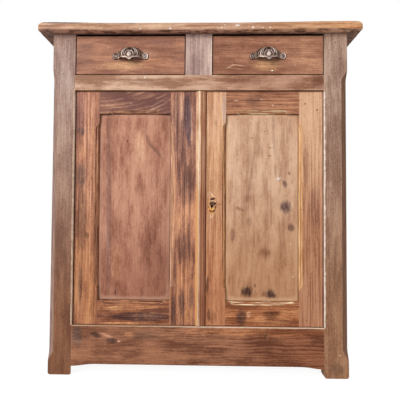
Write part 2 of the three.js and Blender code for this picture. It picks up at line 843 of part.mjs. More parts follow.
// The pieces of one drawer; side is -1 for the left drawer and 1 for the right one
function drawerFront(side) {
  const x = [side * drawerInnerX, side * drawerOuterX];
  const z0 = drawerBase + drawerFrontRaise;
  const blank = board(x, [drawerFrontY, drawerFrontY + drawerFrontThickness], [z0, z0 + drawerFrontHeight]);
  const groove = board([side * (drawerInnerX + drawerSideThickness - drawerGroove),
    side * (drawerOuterX - drawerSideThickness + drawerGroove)],
  [drawerFrontY + drawerFrontThickness - drawerGroove - fit, drawerFrontY + drawerFrontThickness + overrun],
  [bottomZ[0] - fit, bottomZ[1] + fit]);
  const sockets = drawerSides(side).flatMap(([x0, x1, outward]) => {
    const past = outward * overrun;
    const span = outward > 0 ? [x0 - fit, x1 + past] : [x0 + past, x1 + fit];
    return dovetails(fit).map((shape) => alongX(shape, ...span));
  });
  return cutAll(blank, [groove, ...sockets]);
}

// For each side of a drawer: its x limits, and -1 or 1 for the way that its outer face looks
function drawerSides(side) {
  const inner = [side * drawerInnerX, side * (drawerInnerX + drawerSideThickness)].sort((a, b) => a - b);
  const outer = [side * (drawerOuterX - drawerSideThickness), side * drawerOuterX].sort((a, b) => a - b);
  const pair = [[...inner, -side], [...outer, side]];
  return pair.sort((a, b) => a[0] - b[0]);
}

function drawerSide([x0, x1, outward]) {
  const rootY = drawerFrontY + drawerFrontThickness;
  const blank = board([x0, x1], [rootY, drawerEndY], [drawerBase, drawerBase + drawerSideHeight]);
  const shoulderRoom = board([x0 - overrun, x1 + overrun], [drawerFrontY - overrun, rootY + overrun],
    [drawerBase + drawerFrontRaise, drawerBase + drawerSideHeight]);
  const tails = joinAll(dovetails(0).map((shape) => alongX(shape, x0, x1)));
  const inner = outward > 0 ? x0 : x1;
  const groove = board([inner - outward * overrun, inner + outward * (drawerGroove + fit)],
    [rootY - drawerGroove - fit, drawerEndY + overrun], [bottomZ[0] - fit, bottomZ[1] + fit]);
  const backY0 = drawerEndY - drawerBackInset - drawerBackThickness;
  const housing = board([inner - outward * overrun, inner + outward * (drawerBackHousing + fit)],
    [backY0 - fit, backY0 + drawerBackThickness + fit],
    [bottomZ[1] + fit, drawerBase + drawerSideHeight + overrun]);
  return cutAll(blank.add(tails.intersect(shoulderRoom)), [groove, housing]);
}

function drawerBack(side) {
  const reach = drawerSideThickness - drawerBackHousing;
  const y0 = drawerEndY - drawerBackInset - drawerBackThickness;
  return board([side * (drawerInnerX + reach), side * (drawerOuterX - reach)],
    [y0, y0 + drawerBackThickness],
    [bottomZ[1] + fit, drawerBase + drawerSideHeight - drawerBackDrop]);
}

function drawerBottom(side) {
  const reach = drawerSideThickness - drawerGroove;
  return board([side * (drawerInnerX + reach), side * (drawerOuterX - reach)],
    [drawerFrontY + drawerFrontThickness - drawerGroove, drawerEndY - drawerBottomInset], bottomZ);
}

// Relief on the face of a cup pull, as a height above the plain shell at x and z
function pullRelief(x, z) {
  const bump = (distance, width) => Math.exp(-((distance / width) ** 2));
  const leafReach = Math.hypot(x / leafHalfWidth, (z - leafCentreZ) / leafHalfHeight);
  const vein = leafVeinShare * bump(x, leafVeinWidth);
  const leaf = leafHeight * Math.max(0, 1 - leafReach ** 2) * (1 - vein);
  const rise = z - leafCentreZ;
  const up = Math.min(Math.max(rise / bandTip, 0), 1);
  const down = Math.min(Math.max(-rise / bandFoot, 0), 1);
  const spade = (1 - up) ** bandTipPower * (1 + bandTipSwell * up) * Math.sqrt(1 - down ** 2);
  const ribs = Array.from({ length: ribCount }, (_, i) =>
    ribHeight * bump(Math.abs(x) - bandHalfWidth * spade - i * ribPitch, ribWidth));
  return Math.max(leaf, ...ribs);
}

// How far the rim hangs below its plane at x: a lobe in the middle and a scallop each side
function rimDrop(x) {
  const lobe = pullLobeDrop * Math.exp(-((x / pullLobeHalfWidth) ** 2));
  const scallop = pullScallop * Math.sin(pullScallops * Math.PI * x / pullHalfWidth) ** 2;
  return lobe - scallop;
}

// The hood of a cup pull: an outer and an inner quarter of an egg, joined at the rim and the wall
function pullHood() {
  const points = [];
  const skin = (inset, relief) => {
    const [a, b, c] = [pullHalfWidth - inset, pullDepth - inset, pullRise - inset];
    const start = points.length;
    points.push(new THREE.Vector3(0, 0, pullRimZ + c));
    for (let row = 1; row <= pullRows; row += 1) {
      const down = row / pullRows;
      const beta = down * Math.PI / 2;
      for (let column = 0; column <= pullColumns; column += 1) {
        const alpha = column / pullColumns * Math.PI;
        const round = Math.sin(alpha);
        const x = -a * Math.cos(alpha) * Math.sin(beta) ** pullFullness;
        const drop = rimDrop(x) * round * down ** pullDropPower;
        const z = pullRimZ + c * Math.cos(beta) ** pullFullness - drop;
        const rimBead = pullBead * Math.exp(-(((1 - down) * pullRows / pullBeadRows) ** 2));
        const raised = pullRelief(x, z) * (1 - down ** reliefFadePower);
        const swell = relief ? round * (raised + rimBead) : 0;
        const y = -round * (b * Math.sin(beta)) - swell;
        points.push(new THREE.Vector3(x, y, z));
      }
    }
    return start;
  };
  const outer = skin(0, true);
  const inner = skin(pullWall, false);
  const at = (start, row, column) => (row === 0 ? start : start + 1 + (row - 1) * (pullColumns + 1) + column);
  const triangles = [];
  const quad = (a, b, c, d) => {
    if (a !== b) triangles.push([a, b, c]);
    triangles.push([a, c, d]);
  };
  for (let row = 0; row < pullRows; row += 1) {
    for (let column = 0; column < pullColumns; column += 1) {
      quad(at(outer, row, column), at(outer, row, column + 1),
        at(outer, row + 1, column + 1), at(outer, row + 1, column));
      quad(at(inner, row, column + 1), at(inner, row, column),
        at(inner, row + 1, column), at(inner, row + 1, column + 1));
    }
    quad(at(outer, row + 1, 0), at(inner, row + 1, 0), at(inner, row, 0), at(outer, row, 0));
    quad(at(inner, row + 1, pullColumns), at(outer, row + 1, pullColumns),
      at(outer, row, pullColumns), at(inner, row, pullColumns));
  }
  for (let column = 0; column < pullColumns; column += 1) {
    quad(at(outer, pullRows, column), at(outer, pullRows, column + 1),
      at(inner, pullRows, column + 1), at(inner, pullRows, column));
  }
  return solidFromTriangles(points, triangles);
}

// The flat flange round the hood, with an ear for a screw at each end
function pullFlangePlate() {
  const count = pullColumns / 2;
  const steps = Array.from({ length: count + 1 }, (_, i) => i / count * Math.PI);
  const full = (value) => Math.sign(value) * Math.abs(value) ** pullFullness;
  const arch = (a, c) => steps.map((angle) =>
    [a * full(Math.cos(angle)), pullRimZ + c * full(Math.sin(angle))]);
  const arched = outline(arch(pullHalfWidth + pullFlange, pullRise + pullFlange));
  const hollow = outline([
    [pullHalfWidth - pullWall, pullRimZ - overrun],
    ...arch(pullHalfWidth - pullWall, pullRise - pullWall),
    [pullWall - pullHalfWidth, pullRimZ - overrun],
  ]);
  const plate = alongY(arched, -pullFlangeThickness, 0);
  const ears = [-1, 1].map((side) => {
    const recess = earRecessRadius / earHalfWidth;
    const recessFloor = 1 - earRecessDepth / earThickness;
    const profile = [
      [0, 0],
      [1, 0],
      ...earEdgeShares,
      [recess, earDishShare],
      [recess, recessFloor],
      [0, recessFloor],
    ].map(([radius, height]) => new THREE.Vector2(radius, height));
    const ear = new THREE.LatheGeometry(profile, roundSegments);
    ear.scale(earHalfWidth, earThickness, earHalfHeight);
    ear.rotateX(Math.PI);
    return solid(ear.translate(side * earCentreX, 0, earCentreZ));
  });
  const bridges = [-1, 1].map((side) => {
    const points = [
      [pullHalfWidth - pullWall, earCentreZ - earBridgeHalfHeight],
      [earCentreX, earCentreZ - earBridgeHalfHeight],
      [earCentreX, earCentreZ + earBridgeHalfHeight],
      [pullHalfWidth - pullWall, earCentreZ + earBridgeShoulder],
    ];
    return alongY(outline(points.map(([x, z]) => [side * x, z])), -pullFlangeThickness, 0);
  });
  return joinAll([plate, ...ears, ...bridges]).subtract(alongY(hollow, -earThickness - overrun, overrun));
}

const pullX = (drawerOuterX + drawerInnerX) / 2;
const pullZ = drawerBase + drawerFrontRaise + drawerFrontHeight / 2;
const cupPull = pullFlangePlate().add(pullHood());

function drawer(side, label) {
  place(`${label}_drawer_front`, drawerFront(side), redWood);
  const [left, right] = drawerSides(side);
  place(`${label}_drawer_side_left`, drawerSide(left), innerWood);
  place(`${label}_drawer_side_right`, drawerSide(right), innerWood);
  place(`${label}_drawer_back`, drawerBack(side), innerWood);
  place(`${label}_drawer_bottom`, drawerBottom(side), innerWood);
  place(`${label}_drawer_pull`, cupPull.translate([side * pullX, drawerFrontY, pullZ]), castNickel);
}

// Heights and depths that every door frame shares
const topRailZ = [doorTop - doorTopRailHeight, doorTop];
const bottomRailZ = [doorBottom, doorBottom + doorBottomRailHeight];
const grooveY = [doorFrontY + panelGrooveSet, doorFrontY + panelGrooveSet + panelThickness + 2 * fit];
const doorTenonY = [grooveY[0] + fit, grooveY[0] + fit + doorTenonThickness];
const topTenonZ = [topRailZ[0] + doorTenonInset, topRailZ[1] - doorTenonInset];
const bottomTenonZ = [bottomRailZ[0] + doorTenonInset, bottomRailZ[1] - doorTenonInset];

// A stile from edgeX, its outer edge, to innerX, its edge at the panel
function stile(edgeX, innerX) {
  const inward = Math.sign(innerX - edgeX);
  const blank = board([edgeX, innerX], [doorFrontY, doorBackY], [doorBottom, doorTop]);
  const groove = board([innerX - inward * panelGrooveDepth, innerX + inward * overrun], grooveY,
    [bottomRailZ[1] - panelGrooveDepth, topRailZ[0] + panelGrooveDepth]);
  const mortises = [topTenonZ, bottomTenonZ].map(([low, high]) =>
    board([innerX - inward * (doorTenonLength + fit), innerX + inward * overrun],
      [doorTenonY[0] - fit, doorTenonY[1] + fit], [low - fit, high + fit]));
  const start = bottomRailZ[1] + stileMouldBottomMargin;
  const length = topRailZ[0] - stileMouldTopMargin - start;
  const mould = stoppedChamfer(new THREE.Vector3(innerX, doorFrontY, start), zAxis, length,
    xAxis.clone().multiplyScalar(-inward * frameMouldWidth),
    yAxis.clone().multiplyScalar(frameMouldDepth), frameMouldStop, frameMouldStop, frameMouldShares);
  return cutAll(blank, [groove, ...mortises, mould]);
}

function pivotBore(x, low) {
  const z = low
    ? [doorBottom - overrun, doorBottom + pivotDoorDepth + fit]
    : [doorTop - pivotDoorDepth - fit, doorTop + overrun];
  return uprightRod(pivotRadius + fit, x, pivotY, ...z);
}

function hingeStile(edgeX, innerX, pivotX) {
  return cutAll(stile(edgeX, innerX), [pivotBore(pivotX, true), pivotBore(pivotX, false)]);
}

// A rail of a door between two stiles; looking is 1 where the panel lies above it
function doorRail([x0, x1], [z0, z1], tenonZ, looking, mouldMargin) {
  const blank = board([x0, x1], [doorFrontY, doorBackY], [z0, z1]);
  const tenons = board([x0 - doorTenonLength, x1 + doorTenonLength], doorTenonY, tenonZ);
  const edge = looking > 0 ? z1 : z0;
  const groove = board([x0 - overrun, x1 + overrun], grooveY,
    [edge - looking * panelGrooveDepth, edge + looking * overrun]);
  const start = new THREE.Vector3(x0 + mouldMargin, doorFrontY, edge);
  const mould = stoppedChamfer(start, xAxis, x1 - x0 - 2 * mouldMargin,
    zAxis.clone().multiplyScalar(-looking * frameMouldWidth),
    yAxis.clone().multiplyScalar(frameMouldDepth), frameMouldStop, frameMouldStop, frameMouldShares);
  return cutAll(blank, [groove, mould]).add(tenons);
}

// A panel whose face rises softly from its edges to a broad field
function doorPanel([x0, x1]) {
  const tongueY = [grooveY[0] + fit, grooveY[0] + fit + panelThickness];
  const [z0, z1] = [bottomRailZ[1], topRailZ[0]];
  const slab = board([x0 - panelTongue, x1 + panelTongue], tongueY, [z0 - panelTongue, z1 + panelTongue]);
  const ring = (margin, y) => [
    new THREE.Vector3(x0 + margin, y, z0 + margin),
    new THREE.Vector3(x1 - margin, y, z0 + margin),
    new THREE.Vector3(x1 - margin, y, z1 - margin),
    new THREE.Vector3(x0 + margin, y, z1 - margin),
  ];
  const half = panelThickness / 2;
  const field = loft([
    ring(0, tongueY[0] + half),
    ring(0, tongueY[0]),
    ring(panelFieldMargin, tongueY[0] - panelFieldRise),
  ]);
  return slab.add(field);
}

// Moulded strip on the meeting edge: a slope, a flat crown, a hollow, a quirk and a narrow bead
function astragal() {
  const crownY = doorFrontY - astragalProud;
  const [x0, x1] = [astragalX, meetingEdgeX];
  const crown0 = x0 + astragalSlope;
  const crown1 = crown0 + astragalCrown;
  const hollow1 = crown1 + astragalHollowWidth;
  const beadY = crownY + astragalHollowDepth;
  const bead0 = hollow1 + astragalQuirkWidth;
  const shape = outline([
    [x0, doorBackY],
    [x0, doorFrontY - astragalArris],
    [x0 + astragalArris, doorFrontY - 2 * astragalArris],
    [(x0 + crown0) / 2, (doorFrontY + crownY) / 2 - astragalArris],
    [crown0, crownY],
    [crown1, crownY],
    [(crown1 + hollow1) / 2, crownY + astragalHollowShare * astragalHollowDepth],
    [hollow1, beadY],
    [hollow1, beadY + astragalQuirkDepth],
    [bead0, beadY + astragalQuirkDepth],
    [bead0, beadY + astragalArris],
    [(bead0 + x1) / 2, beadY],
    [x1 - astragalArris, beadY + astragalArris],
    [x1, beadY + 2 * astragalArris],
    [x1, doorBackY],
  ]);
  const boltMiddle = lockHeight + lockBoltRise + lockBoltHeight / 2;
  const halfHeight = lockBoltHeight / 2 + lockRunGap;
  const mortise = board([meetingEdgeX - lockMortiseDepth, meetingEdgeX + overrun],
    [lockBoltY[0] - lockRunGap, lockBoltY[1] + lockRunGap],
    [boltMiddle - halfHeight, boltMiddle + halfHeight]);
  return alongZ(shape, doorBottom, doorTop).subtract(mortise);
}

// A pivot pin with the collar that keeps the door off the rail
function pivotPin(x, railZ, doorZ) {
  const up = Math.sign(doorZ - railZ);
  const collar = [railZ + up * fit, doorZ - up * fit].sort((a, b) => a - b);
  const pin = [railZ - up * pivotRailDepth, doorZ + up * pivotDoorDepth].sort((a, b) => a - b);
  return uprightRod(pivotRadius, x, pivotY, ...pin).add(uprightRod(pivotCollarRadius, x, pivotY, ...collar));
}

const boltTopZ = stopStripBottom - boltTopGap;
const boltPlateTop = doorTop - stopStripHeight - boltPlateDrop;
const boltPlateBottom = boltPlateTop - boltPlateHeight;
const boltKnobZ = boltPlateBottom + boltKnobSlotRise;

// Case of the slide bolt: a plate on the door and a trough over the rod, slotted for the knob
function boltCase() {
  const plate = board([boltAxisX - boltPlateWidth / 2, boltAxisX + boltPlateWidth / 2],
    [doorBackY, doorBackY + boltPlateThickness], [boltPlateBottom, boltPlateTop]);
  const half = boltBore + boltCaseWall;
  const trough = board([boltAxisX - half, boltAxisX + half],
    [doorBackY, boltAxisY + half], [boltPlateBottom, boltPlateTop]);
  const bore = uprightRod(boltBore, boltAxisX, boltAxisY, boltPlateBottom - overrun, boltPlateTop + overrun);
  const slotHalf = boltKnobRadius + lockRunGap;
  const slot = board([boltAxisX - slotHalf, boltAxisX + slotHalf], [boltAxisY, boltAxisY + half + overrun],
    [boltKnobZ - slotHalf, boltKnobZ + boltTravel + slotHalf]);
  return cutAll(plate.add(trough), [bore, slot]);
}

// The bolt: a rod with a knob that stands out through the slot
function slideBolt() {
  const rod = uprightRod(boltRadius, boltAxisX, boltAxisY, boltPlateBottom - boltTail, boltTopZ);
  const reach = boltBore + boltCaseWall + boltKnobLength;
  const knob = new THREE.CylinderGeometry(boltKnobRadius, boltKnobRadius, reach, roundSegments);
  return rod.add(solid(knob.translate(boltAxisX, boltAxisY + reach / 2, boltKnobZ)));
}

const lockCaseY = [doorBackY - lockCaseThickness, doorBackY];
const lockCaseX = [lockEdgeX + fit, lockEdgeX + fit + lockCaseWidth];
const lockCaseZ = [lockHeight - lockCaseHeight / 2, lockHeight + lockCaseHeight / 2];
const lockMidY = (lockCaseY[0] + lockCaseY[1]) / 2;
const lockBoltY = [lockMidY - lockBoltThickness / 2, lockMidY + lockBoltThickness / 2];
const lockBoltZ = [lockHeight + lockBoltRise, lockHeight + lockBoltRise + lockBoltHeight];

// A round hole with a slot below it, grown by a clearance
function keyhole(clearance) {
  const radius = keyholeRadius + clearance;
  const half = keyholeSlotWidth / 2 + clearance;
  const shape = new THREE.Shape();
  const meet = Math.asin(half / radius);
  const start = 1.5 * Math.PI + meet;
  shape.moveTo(keyholeX + half, lockHeight - keyholeSlotDrop - clearance);
  shape.absarc(keyholeX, lockHeight, radius, start, start + 2 * Math.PI - 2 * meet, false);
  shape.lineTo(keyholeX - half, lockHeight - keyholeSlotDrop - clearance);
  return shape;
}

// The lock stile: a stile with a pocket in its back for the lock and a keyhole through to it
function lockStile() {
  const pocket = board([lockEdgeX - overrun, lockCaseX[1] + fit], [lockCaseY[0] - fit, doorBackY + overrun],
    [lockCaseZ[0] - fit, lockCaseZ[1] + fit]);
  const hole = alongY(keyhole(0), doorFrontY - overrun, lockCaseY[0] + overrun);
  return cutAll(stile(lockEdgeX, lockEdgeX + lockStileWidth), [pocket, hole]);
}

// The lock's case, hollow for the bolt, open at the edge of the door and at the keyhole
function lockCase() {
  const body = board(lockCaseX, lockCaseY, lockCaseZ);
  const chamber = board([lockCaseX[0] + lockCaseWall, lockCaseX[1] - lockCaseWall],
    [lockBoltY[0] - lockRunGap, lockBoltY[1] + lockRunGap],
    [lockCaseZ[0] + lockCaseWall, lockBoltZ[1] + lockRunGap]);
  const mouth = board([lockCaseX[0] - overrun, lockCaseX[0] + lockCaseWall + overrun],
    [lockBoltY[0] - lockRunGap, lockBoltY[1] + lockRunGap],
    [lockBoltZ[0] - lockRunGap, lockBoltZ[1] + lockRunGap]);
  const hole = alongY(keyhole(0), lockCaseY[0] - overrun, lockMidY);
  return cutAll(body, [chamber, mouth, hole]);
}

// The lock's bolt, with the notch that the key turns in
function lockBolt() {
  const x0 = lockEdgeX + lockBoltInset;
  const body = board([x0, x0 + lockBoltLength], lockBoltY, lockBoltZ);
  const notch = board([keyholeX - lockTalonWidth / 2, keyholeX + lockTalonWidth / 2],
    [lockBoltY[0] - overrun, lockBoltY[1] + overrun],
    [lockBoltZ[0] - overrun, lockBoltZ[0] + lockTalonDepth]);
  return body.subtract(notch);
}

function door(label, hinge, hingeX, pivotX, other, otherStile, wood, panelWood, innerX) {
  place(`${label}_hinge_stile`, hingeStile(hingeX, hinge, pivotX), wood);
  place(`${label}_${other}`, otherStile, wood);
  place(`${label}_top_rail`, doorRail(innerX, topRailZ, topTenonZ, -1, topRailMouldMargin), redWood);
  place(`${label}_bottom_rail`, doorRail(innerX, bottomRailZ, bottomTenonZ, 1, bottomRailMouldMargin),
    redWood);
  place(`${label}_panel`, doorPanel(innerX), panelWood);
  place(`${label}_top_pivot`, pivotPin(pivotX, middleRailBottom, doorTop), ironwork);
  place(`${label}_bottom_pivot`, pivotPin(pivotX, apronTop, doorBottom), ironwork);
}

// The carcass
place('top_board', topBoard(), orangeWood);
[[-1, 'left'], [1, 'right']].forEach(([side, label]) => {
  place(`front_post_${label}`, frontPost(side), greyWood);
  place(`rear_post_${label}`, rearPost(side), greyWood);
  place(`side_top_rail_${label}`, sideTopRail(side), brownWood);
  place(`side_bottom_rail_${label}`, sideBottomRail(side), brownWood);
  place(`side_panel_${label}`, sidePanel(side), brownWood);
  place(`shelf_cleat_${label}`, shelfCleat(side), innerWood);
  place(`drawer_runner_${label}`, sideRunner(side), innerWood);
});
place('middle_rail', middleRail(), tanWood);
place('apron_rail', apronRail(), brownWood);
place('drawer_divider', drawerDivider(), greyWood);
Object.entries(backRails).forEach(([name, span]) => place(name, backRail(span), innerWood));
for (let index = 0; index < backBoardCount; index += 1) {
  place(`back_board_${index + 1}`, backBoard(index), innerWood);
}
place('cabinet_floor', cabinetFloor(), innerWood);
place('shelf', shelf(), innerWood);
place('drawer_runner_middle', middleRunner(), innerWood);
place('door_stop', doorStop(), innerWood);

// The drawers
drawer(-1, 'left');
drawer(1, 'right');

// The doors
const leftInnerX = [leftDoorX + leftHingeStileWidth, astragalX - meetingStileWidth];
const rightInnerX = [lockEdgeX + lockStileWidth, rightDoorX - rightHingeStileWidth];
door('left_door', leftInnerX[0], leftDoorX, leftPivotX, 'meeting_stile',
  stile(astragalX, leftInnerX[1]), orangeWood, redWood, leftInnerX);
place('left_door_astragal', astragal(), paleWood);
place('slide_bolt_case', boltCase(), ironwork);
place('slide_bolt', slideBolt(), ironwork);
door('right_door', rightInnerX[1], rightDoorX, rightPivotX, 'lock_stile',
  lockStile(), paleWood, paleWood, rightInnerX);
place('lock_case', lockCase(), ironwork);
place('lock_bolt', lockBolt(), wornBrass);

export default cupboard;
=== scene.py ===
# %% [markdown]
# # A stripped pine jelly cupboard
#
# The real object is a low cupboard of old softwood. Its paint was scraped off long ago, so every
# board has its own colour: grey posts, red doors on the left, honey coloured wood on the right.
# The boards come from a measured model. This lesson gives them their grain, stains, worn edges
# and wormholes, and makes the cast pulls, the soft panels and the fasteners as new meshes.

# %% Load the measured model
import json
import math

import bmesh
import bpy
from mathutils import Matrix, Vector

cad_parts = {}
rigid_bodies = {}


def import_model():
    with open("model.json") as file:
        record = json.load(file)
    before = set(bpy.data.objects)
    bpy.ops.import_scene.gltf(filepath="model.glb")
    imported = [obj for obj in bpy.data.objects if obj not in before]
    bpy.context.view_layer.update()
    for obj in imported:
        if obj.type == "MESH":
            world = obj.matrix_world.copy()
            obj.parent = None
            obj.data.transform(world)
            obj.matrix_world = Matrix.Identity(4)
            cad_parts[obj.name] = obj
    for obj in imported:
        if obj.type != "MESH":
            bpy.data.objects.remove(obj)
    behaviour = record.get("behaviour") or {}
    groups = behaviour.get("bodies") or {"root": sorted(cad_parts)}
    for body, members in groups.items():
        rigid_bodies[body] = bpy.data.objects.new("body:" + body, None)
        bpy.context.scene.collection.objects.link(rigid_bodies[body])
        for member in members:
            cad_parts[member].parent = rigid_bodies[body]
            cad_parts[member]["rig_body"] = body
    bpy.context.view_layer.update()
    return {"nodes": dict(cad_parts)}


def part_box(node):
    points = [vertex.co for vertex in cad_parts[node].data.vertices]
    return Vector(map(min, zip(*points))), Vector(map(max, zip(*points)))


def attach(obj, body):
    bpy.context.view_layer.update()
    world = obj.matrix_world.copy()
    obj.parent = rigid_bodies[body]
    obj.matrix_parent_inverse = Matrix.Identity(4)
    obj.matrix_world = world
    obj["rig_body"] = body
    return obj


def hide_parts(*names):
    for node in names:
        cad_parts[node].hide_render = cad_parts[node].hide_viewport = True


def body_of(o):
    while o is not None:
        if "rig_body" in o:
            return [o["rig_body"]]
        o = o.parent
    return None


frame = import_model()
nodes = frame["nodes"]

# %% [markdown]
# ## Units
#
# The model is in metres and a cabinet maker thinks in millimetres. One constant turns one into the
# other. The frame gives the corners of each piece, so the new pieces sit where the old ones do.

# %% Units and corners
MM = 0.001
SIDES = ("left", "right")


def corners(node):
    """The lowest and highest corner of a piece, in metres."""
    low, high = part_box(node)
    return Vector(low), Vector(high)


top_low, top_high = corners("top_board")
FRONT_Y = corners("front_post_left")[0].y
LEFT_INNER_X = corners("front_post_left")[1].x
RIGHT_INNER_X = corners("front_post_right")[0].x
RAIL_LOW = corners("middle_rail")[0].z
APRON_HIGH = corners("apron_rail")[1].z
print("front of the posts at y =", round(FRONT_Y / MM, 1), "mm")

# %% [markdown]
# ## The camera
#
# A camera match starts from straight edges. The posts, rails and doors of the photograph fix where
# the lens stood: a little right of the middle and at half height, 1.1 m from the front. The lens is
# written as the length in pixels that a straight-edge fit gives, for a picture 400 pixels wide.

# %% Place the camera
PICTURE_WIDTH = 400
LENS_IN_PIXELS = 383.1
CAMERA_PLACE = Vector((0.0301, -1.3335, 0.4867))
YAW = 0.0213
PITCH = 0.0247
ROLL = 0.00655

camera_data = bpy.data.cameras.new("camera")
camera_data.sensor_width = 36
camera_data.lens = camera_data.sensor_width * LENS_IN_PIXELS / PICTURE_WIDTH
camera = bpy.data.objects.new("camera", camera_data)
camera.matrix_world = (
    Matrix.Translation(CAMERA_PLACE)
    @ Matrix.Rotation(YAW, 4, "Z")
    @ Matrix.Rotation(math.pi / 2 + PITCH, 4, "X")
    @ Matrix.Rotation(ROLL, 4, "Z")
)
bpy.context.scene.collection.objects.link(camera)
bpy.context.scene.camera = camera
print("lens:", round(camera_data.lens, 2), "mm")

# %% [markdown]
# ## Short names for shader nodes
#
# A material is a graph, and a graph written out node by node is long. A small class adds nodes and
# links them, so that each finish below reads as a list of steps.

# %% A helper that builds node trees


def linear(colour):
    """A colour written as 0 to 255 for a screen, as the light that it stands for."""
    def channel(value):
        share = value / 255
        return share / 12.92 if share <= 0.04045 else ((share + 0.055) / 1.055) ** 2.4
    return (*[channel(value) for value in colour], 1.0)


class Graph:
    """Adds nodes to a node tree and links them. A value is a number or another node's socket."""

    def __init__(self, tree):
        self.tree = tree

    def feed(self, socket, value):
        if isinstance(value, bpy.types.NodeSocket):
            self.tree.links.new(value, socket)
        else:
            socket.default_value = value

    def add(self, kind, inputs=None, **settings):
        node = self.tree.nodes.new("ShaderNode" + kind)
        for name, value in settings.items():
            setattr(node, name, value)
        for name, value in (inputs or {}).items():
            self.feed(node.inputs[name], value)
        return node

    def math(self, operation, *values, kind="Math"):
        node = self.add(kind, operation=operation)
        for socket, value in zip(node.inputs, values):
            self.feed(socket, value)
        return node.outputs[0]

    def vector(self, operation, *values):
        return self.math(operation, *values, kind="VectorMath")

    def times(self, value, *factors):
        for factor in factors:
            value = self.math("MULTIPLY", value, factor)
        return value

    def plus(self, first, second):
        return self.math("ADD", first, second)

    def minus(self, first, second):
        return self.math("SUBTRACT", first, second)

    def line(self, value, slope, start):
        return self.math("MULTIPLY_ADD", value, slope, start)

    def sway(self, noise, reach, value):
        """The value, pushed up and down by a noise that is 0.5 on average."""
        return self.line(self.minus(noise, 0.5), reach, value)

    def hypot(self, first, second):
        return self.math("SQRT", self.plus(self.times(first, first), self.times(second, second)))

    def split(self, vector):
        return self.add("SeparateXYZ", {0: vector}).outputs

    def join(self, x, y, z):
        return self.add("CombineXYZ", {0: x, 1: y, 2: z}).outputs[0]

    def object_place(self):
        return self.add("TexCoord").outputs["Object"]

    def noise(self, place, scale=None, detail=2.0, roughness=0.5):
        if scale is not None:
            place = self.vector("MULTIPLY", place, scale)
        inputs = {"Vector": place, "Scale": 1.0, "Detail": detail, "Roughness": roughness}
        return self.add("TexNoise", inputs).outputs[0]

    def step(self, value, low, high):
        """0 below low, 1 above high and a soft curve between them."""
        inputs = {"Value": value, "From Min": low, "From Max": high}
        return self.add("MapRange", inputs, interpolation_type="SMOOTHSTEP").outputs[0]

    def patches(self, place, scale, detail, roughness, low, high):
        """Noise with its middle drawn apart, so that it makes patches."""
        return self.step(self.noise(place, scale, detail, roughness), low, high)

    def mix(self, share, first, second, blend="MIX"):
        node = self.add("Mix", data_type="RGBA", blend_type=blend)
        for socket, value in ((0, share), (6, first), (7, second)):
            self.feed(node.inputs[socket], value)
        return node.outputs[2]

    def paint(self, share, under, colour):
        """A colour given as 0 to 255, laid over another."""
        return self.mix(share, under, linear(colour))

    def tint(self, share, under, colour, base):
        """Multiplies what is there, so that base becomes the colour and the grain still shows."""
        factor = [a / b for a, b in zip(linear(colour)[:3], linear(base)[:3])]
        return self.mix(share, under, self.mix(1.0, under, (*factor, 1.0), "MULTIPLY"))

    def ramp(self, value, stops):
        """Colours along a value: each stop is a place from 0 to 1 and a colour."""
        node = self.add("ValToRGB", {"Fac": value})
        elements = node.color_ramp.elements
        for element, (place, colour) in zip(elements, (stops[0], stops[-1])):
            element.position = place
            element.color = linear(colour)
        for place, colour in stops[1:-1]:
            elements.new(place).color = linear(colour)
        return node.outputs["Color"]

    def group(self, tree, **inputs):
        named = {name.replace("_", " "): value for name, value in inputs.items()}
        return self.add("Group", named, node_tree=tree).outputs

    def bump(self, height, strength, distance):
        inputs = {"Height": height, "Strength": strength, "Distance": distance}
        return self.add("Bump", inputs).outputs["Normal"]


# %% [markdown]
# ## Shared effects as node groups
#
# Grain, stains, worn edges and wormholes turn up on every board. Each one is a node group with
# named sockets, built once and placed in each material with its own values. A group gives out
# masks and values only. The shader itself stays in the material.

# %% A helper that starts a node group


def start_group(name, inputs, outputs):
    """A new group, its graph, its input sockets by name, and the sockets that take its outputs."""
    tree = bpy.data.node_groups.new(name, "ShaderNodeTree")
    for label, value in inputs.items():
        kind = "NodeSocketVector" if value is None else "NodeSocketFloat"
        socket = tree.interface.new_socket(label, in_out="INPUT", socket_type=kind)
        if value is not None:
            socket.default_value = value
    for label in outputs:
        tree.interface.new_socket(label, in_out="OUTPUT", socket_type="NodeSocketFloat")
    print("group:", name, "inputs:", len(inputs))
    given = tree.nodes.new("NodeGroupInput").outputs
    return tree, Graph(tree), given, tree.nodes.new("NodeGroupOutput").inputs


# %% [markdown]
# ### Pine grain
#
# A pine trunk is a stack of cones. A sawn board cuts them, so its lines are circles round the pith
# seen at a slant: nearly straight where the pith runs along the board, and arched where it dips
# through the face. The group measures the distance from a wandering pith and turns it into rings.
# Long noise gives streaks, very fine noise gives fibres, and broad noise gives blotches.

# %% Group: pine grain
pine_grain, g, given, out = start_group(
    "pine grain",
    {"Place": None, "Pith": None, "Dip": 0.0, "Ring Gap": 6 * MM, "Wander": 8 * MM,
     "Streak Width": 20 * MM, "Seed": 0.0},
    ["Rings", "Streaks", "Fibres", "Blotches", "Scuffs"],
)
seeded = g.vector("MULTIPLY_ADD", given["Seed"], (1.7, 3.1, 2.3), given["Place"])
broad = g.noise(seeded, (2.6, 11, 11))
narrow = g.noise(seeded, (15, 46, 46), 3)
wander = g.times(g.sway(broad, 2, g.times(g.minus(narrow, 0.5), 0.8)), given["Wander"])
along, across, depth = g.split(g.vector("SUBTRACT", given["Place"], given["Pith"]))
deep_way = g.line(wander, 0.7, g.line(along, given["Dip"], depth))
count = g.math("DIVIDE", g.hypot(g.plus(across, wander), deep_way), given["Ring Gap"])
uneven = g.noise(g.join(g.times(count, 0.35), given["Seed"], 0.0), detail=1)
phase = g.math("FRACT", g.line(uneven, 2.2, count))
late = g.times(g.step(phase, 0.25, 0.88), g.minus(1, g.step(phase, 0.93, 1)))
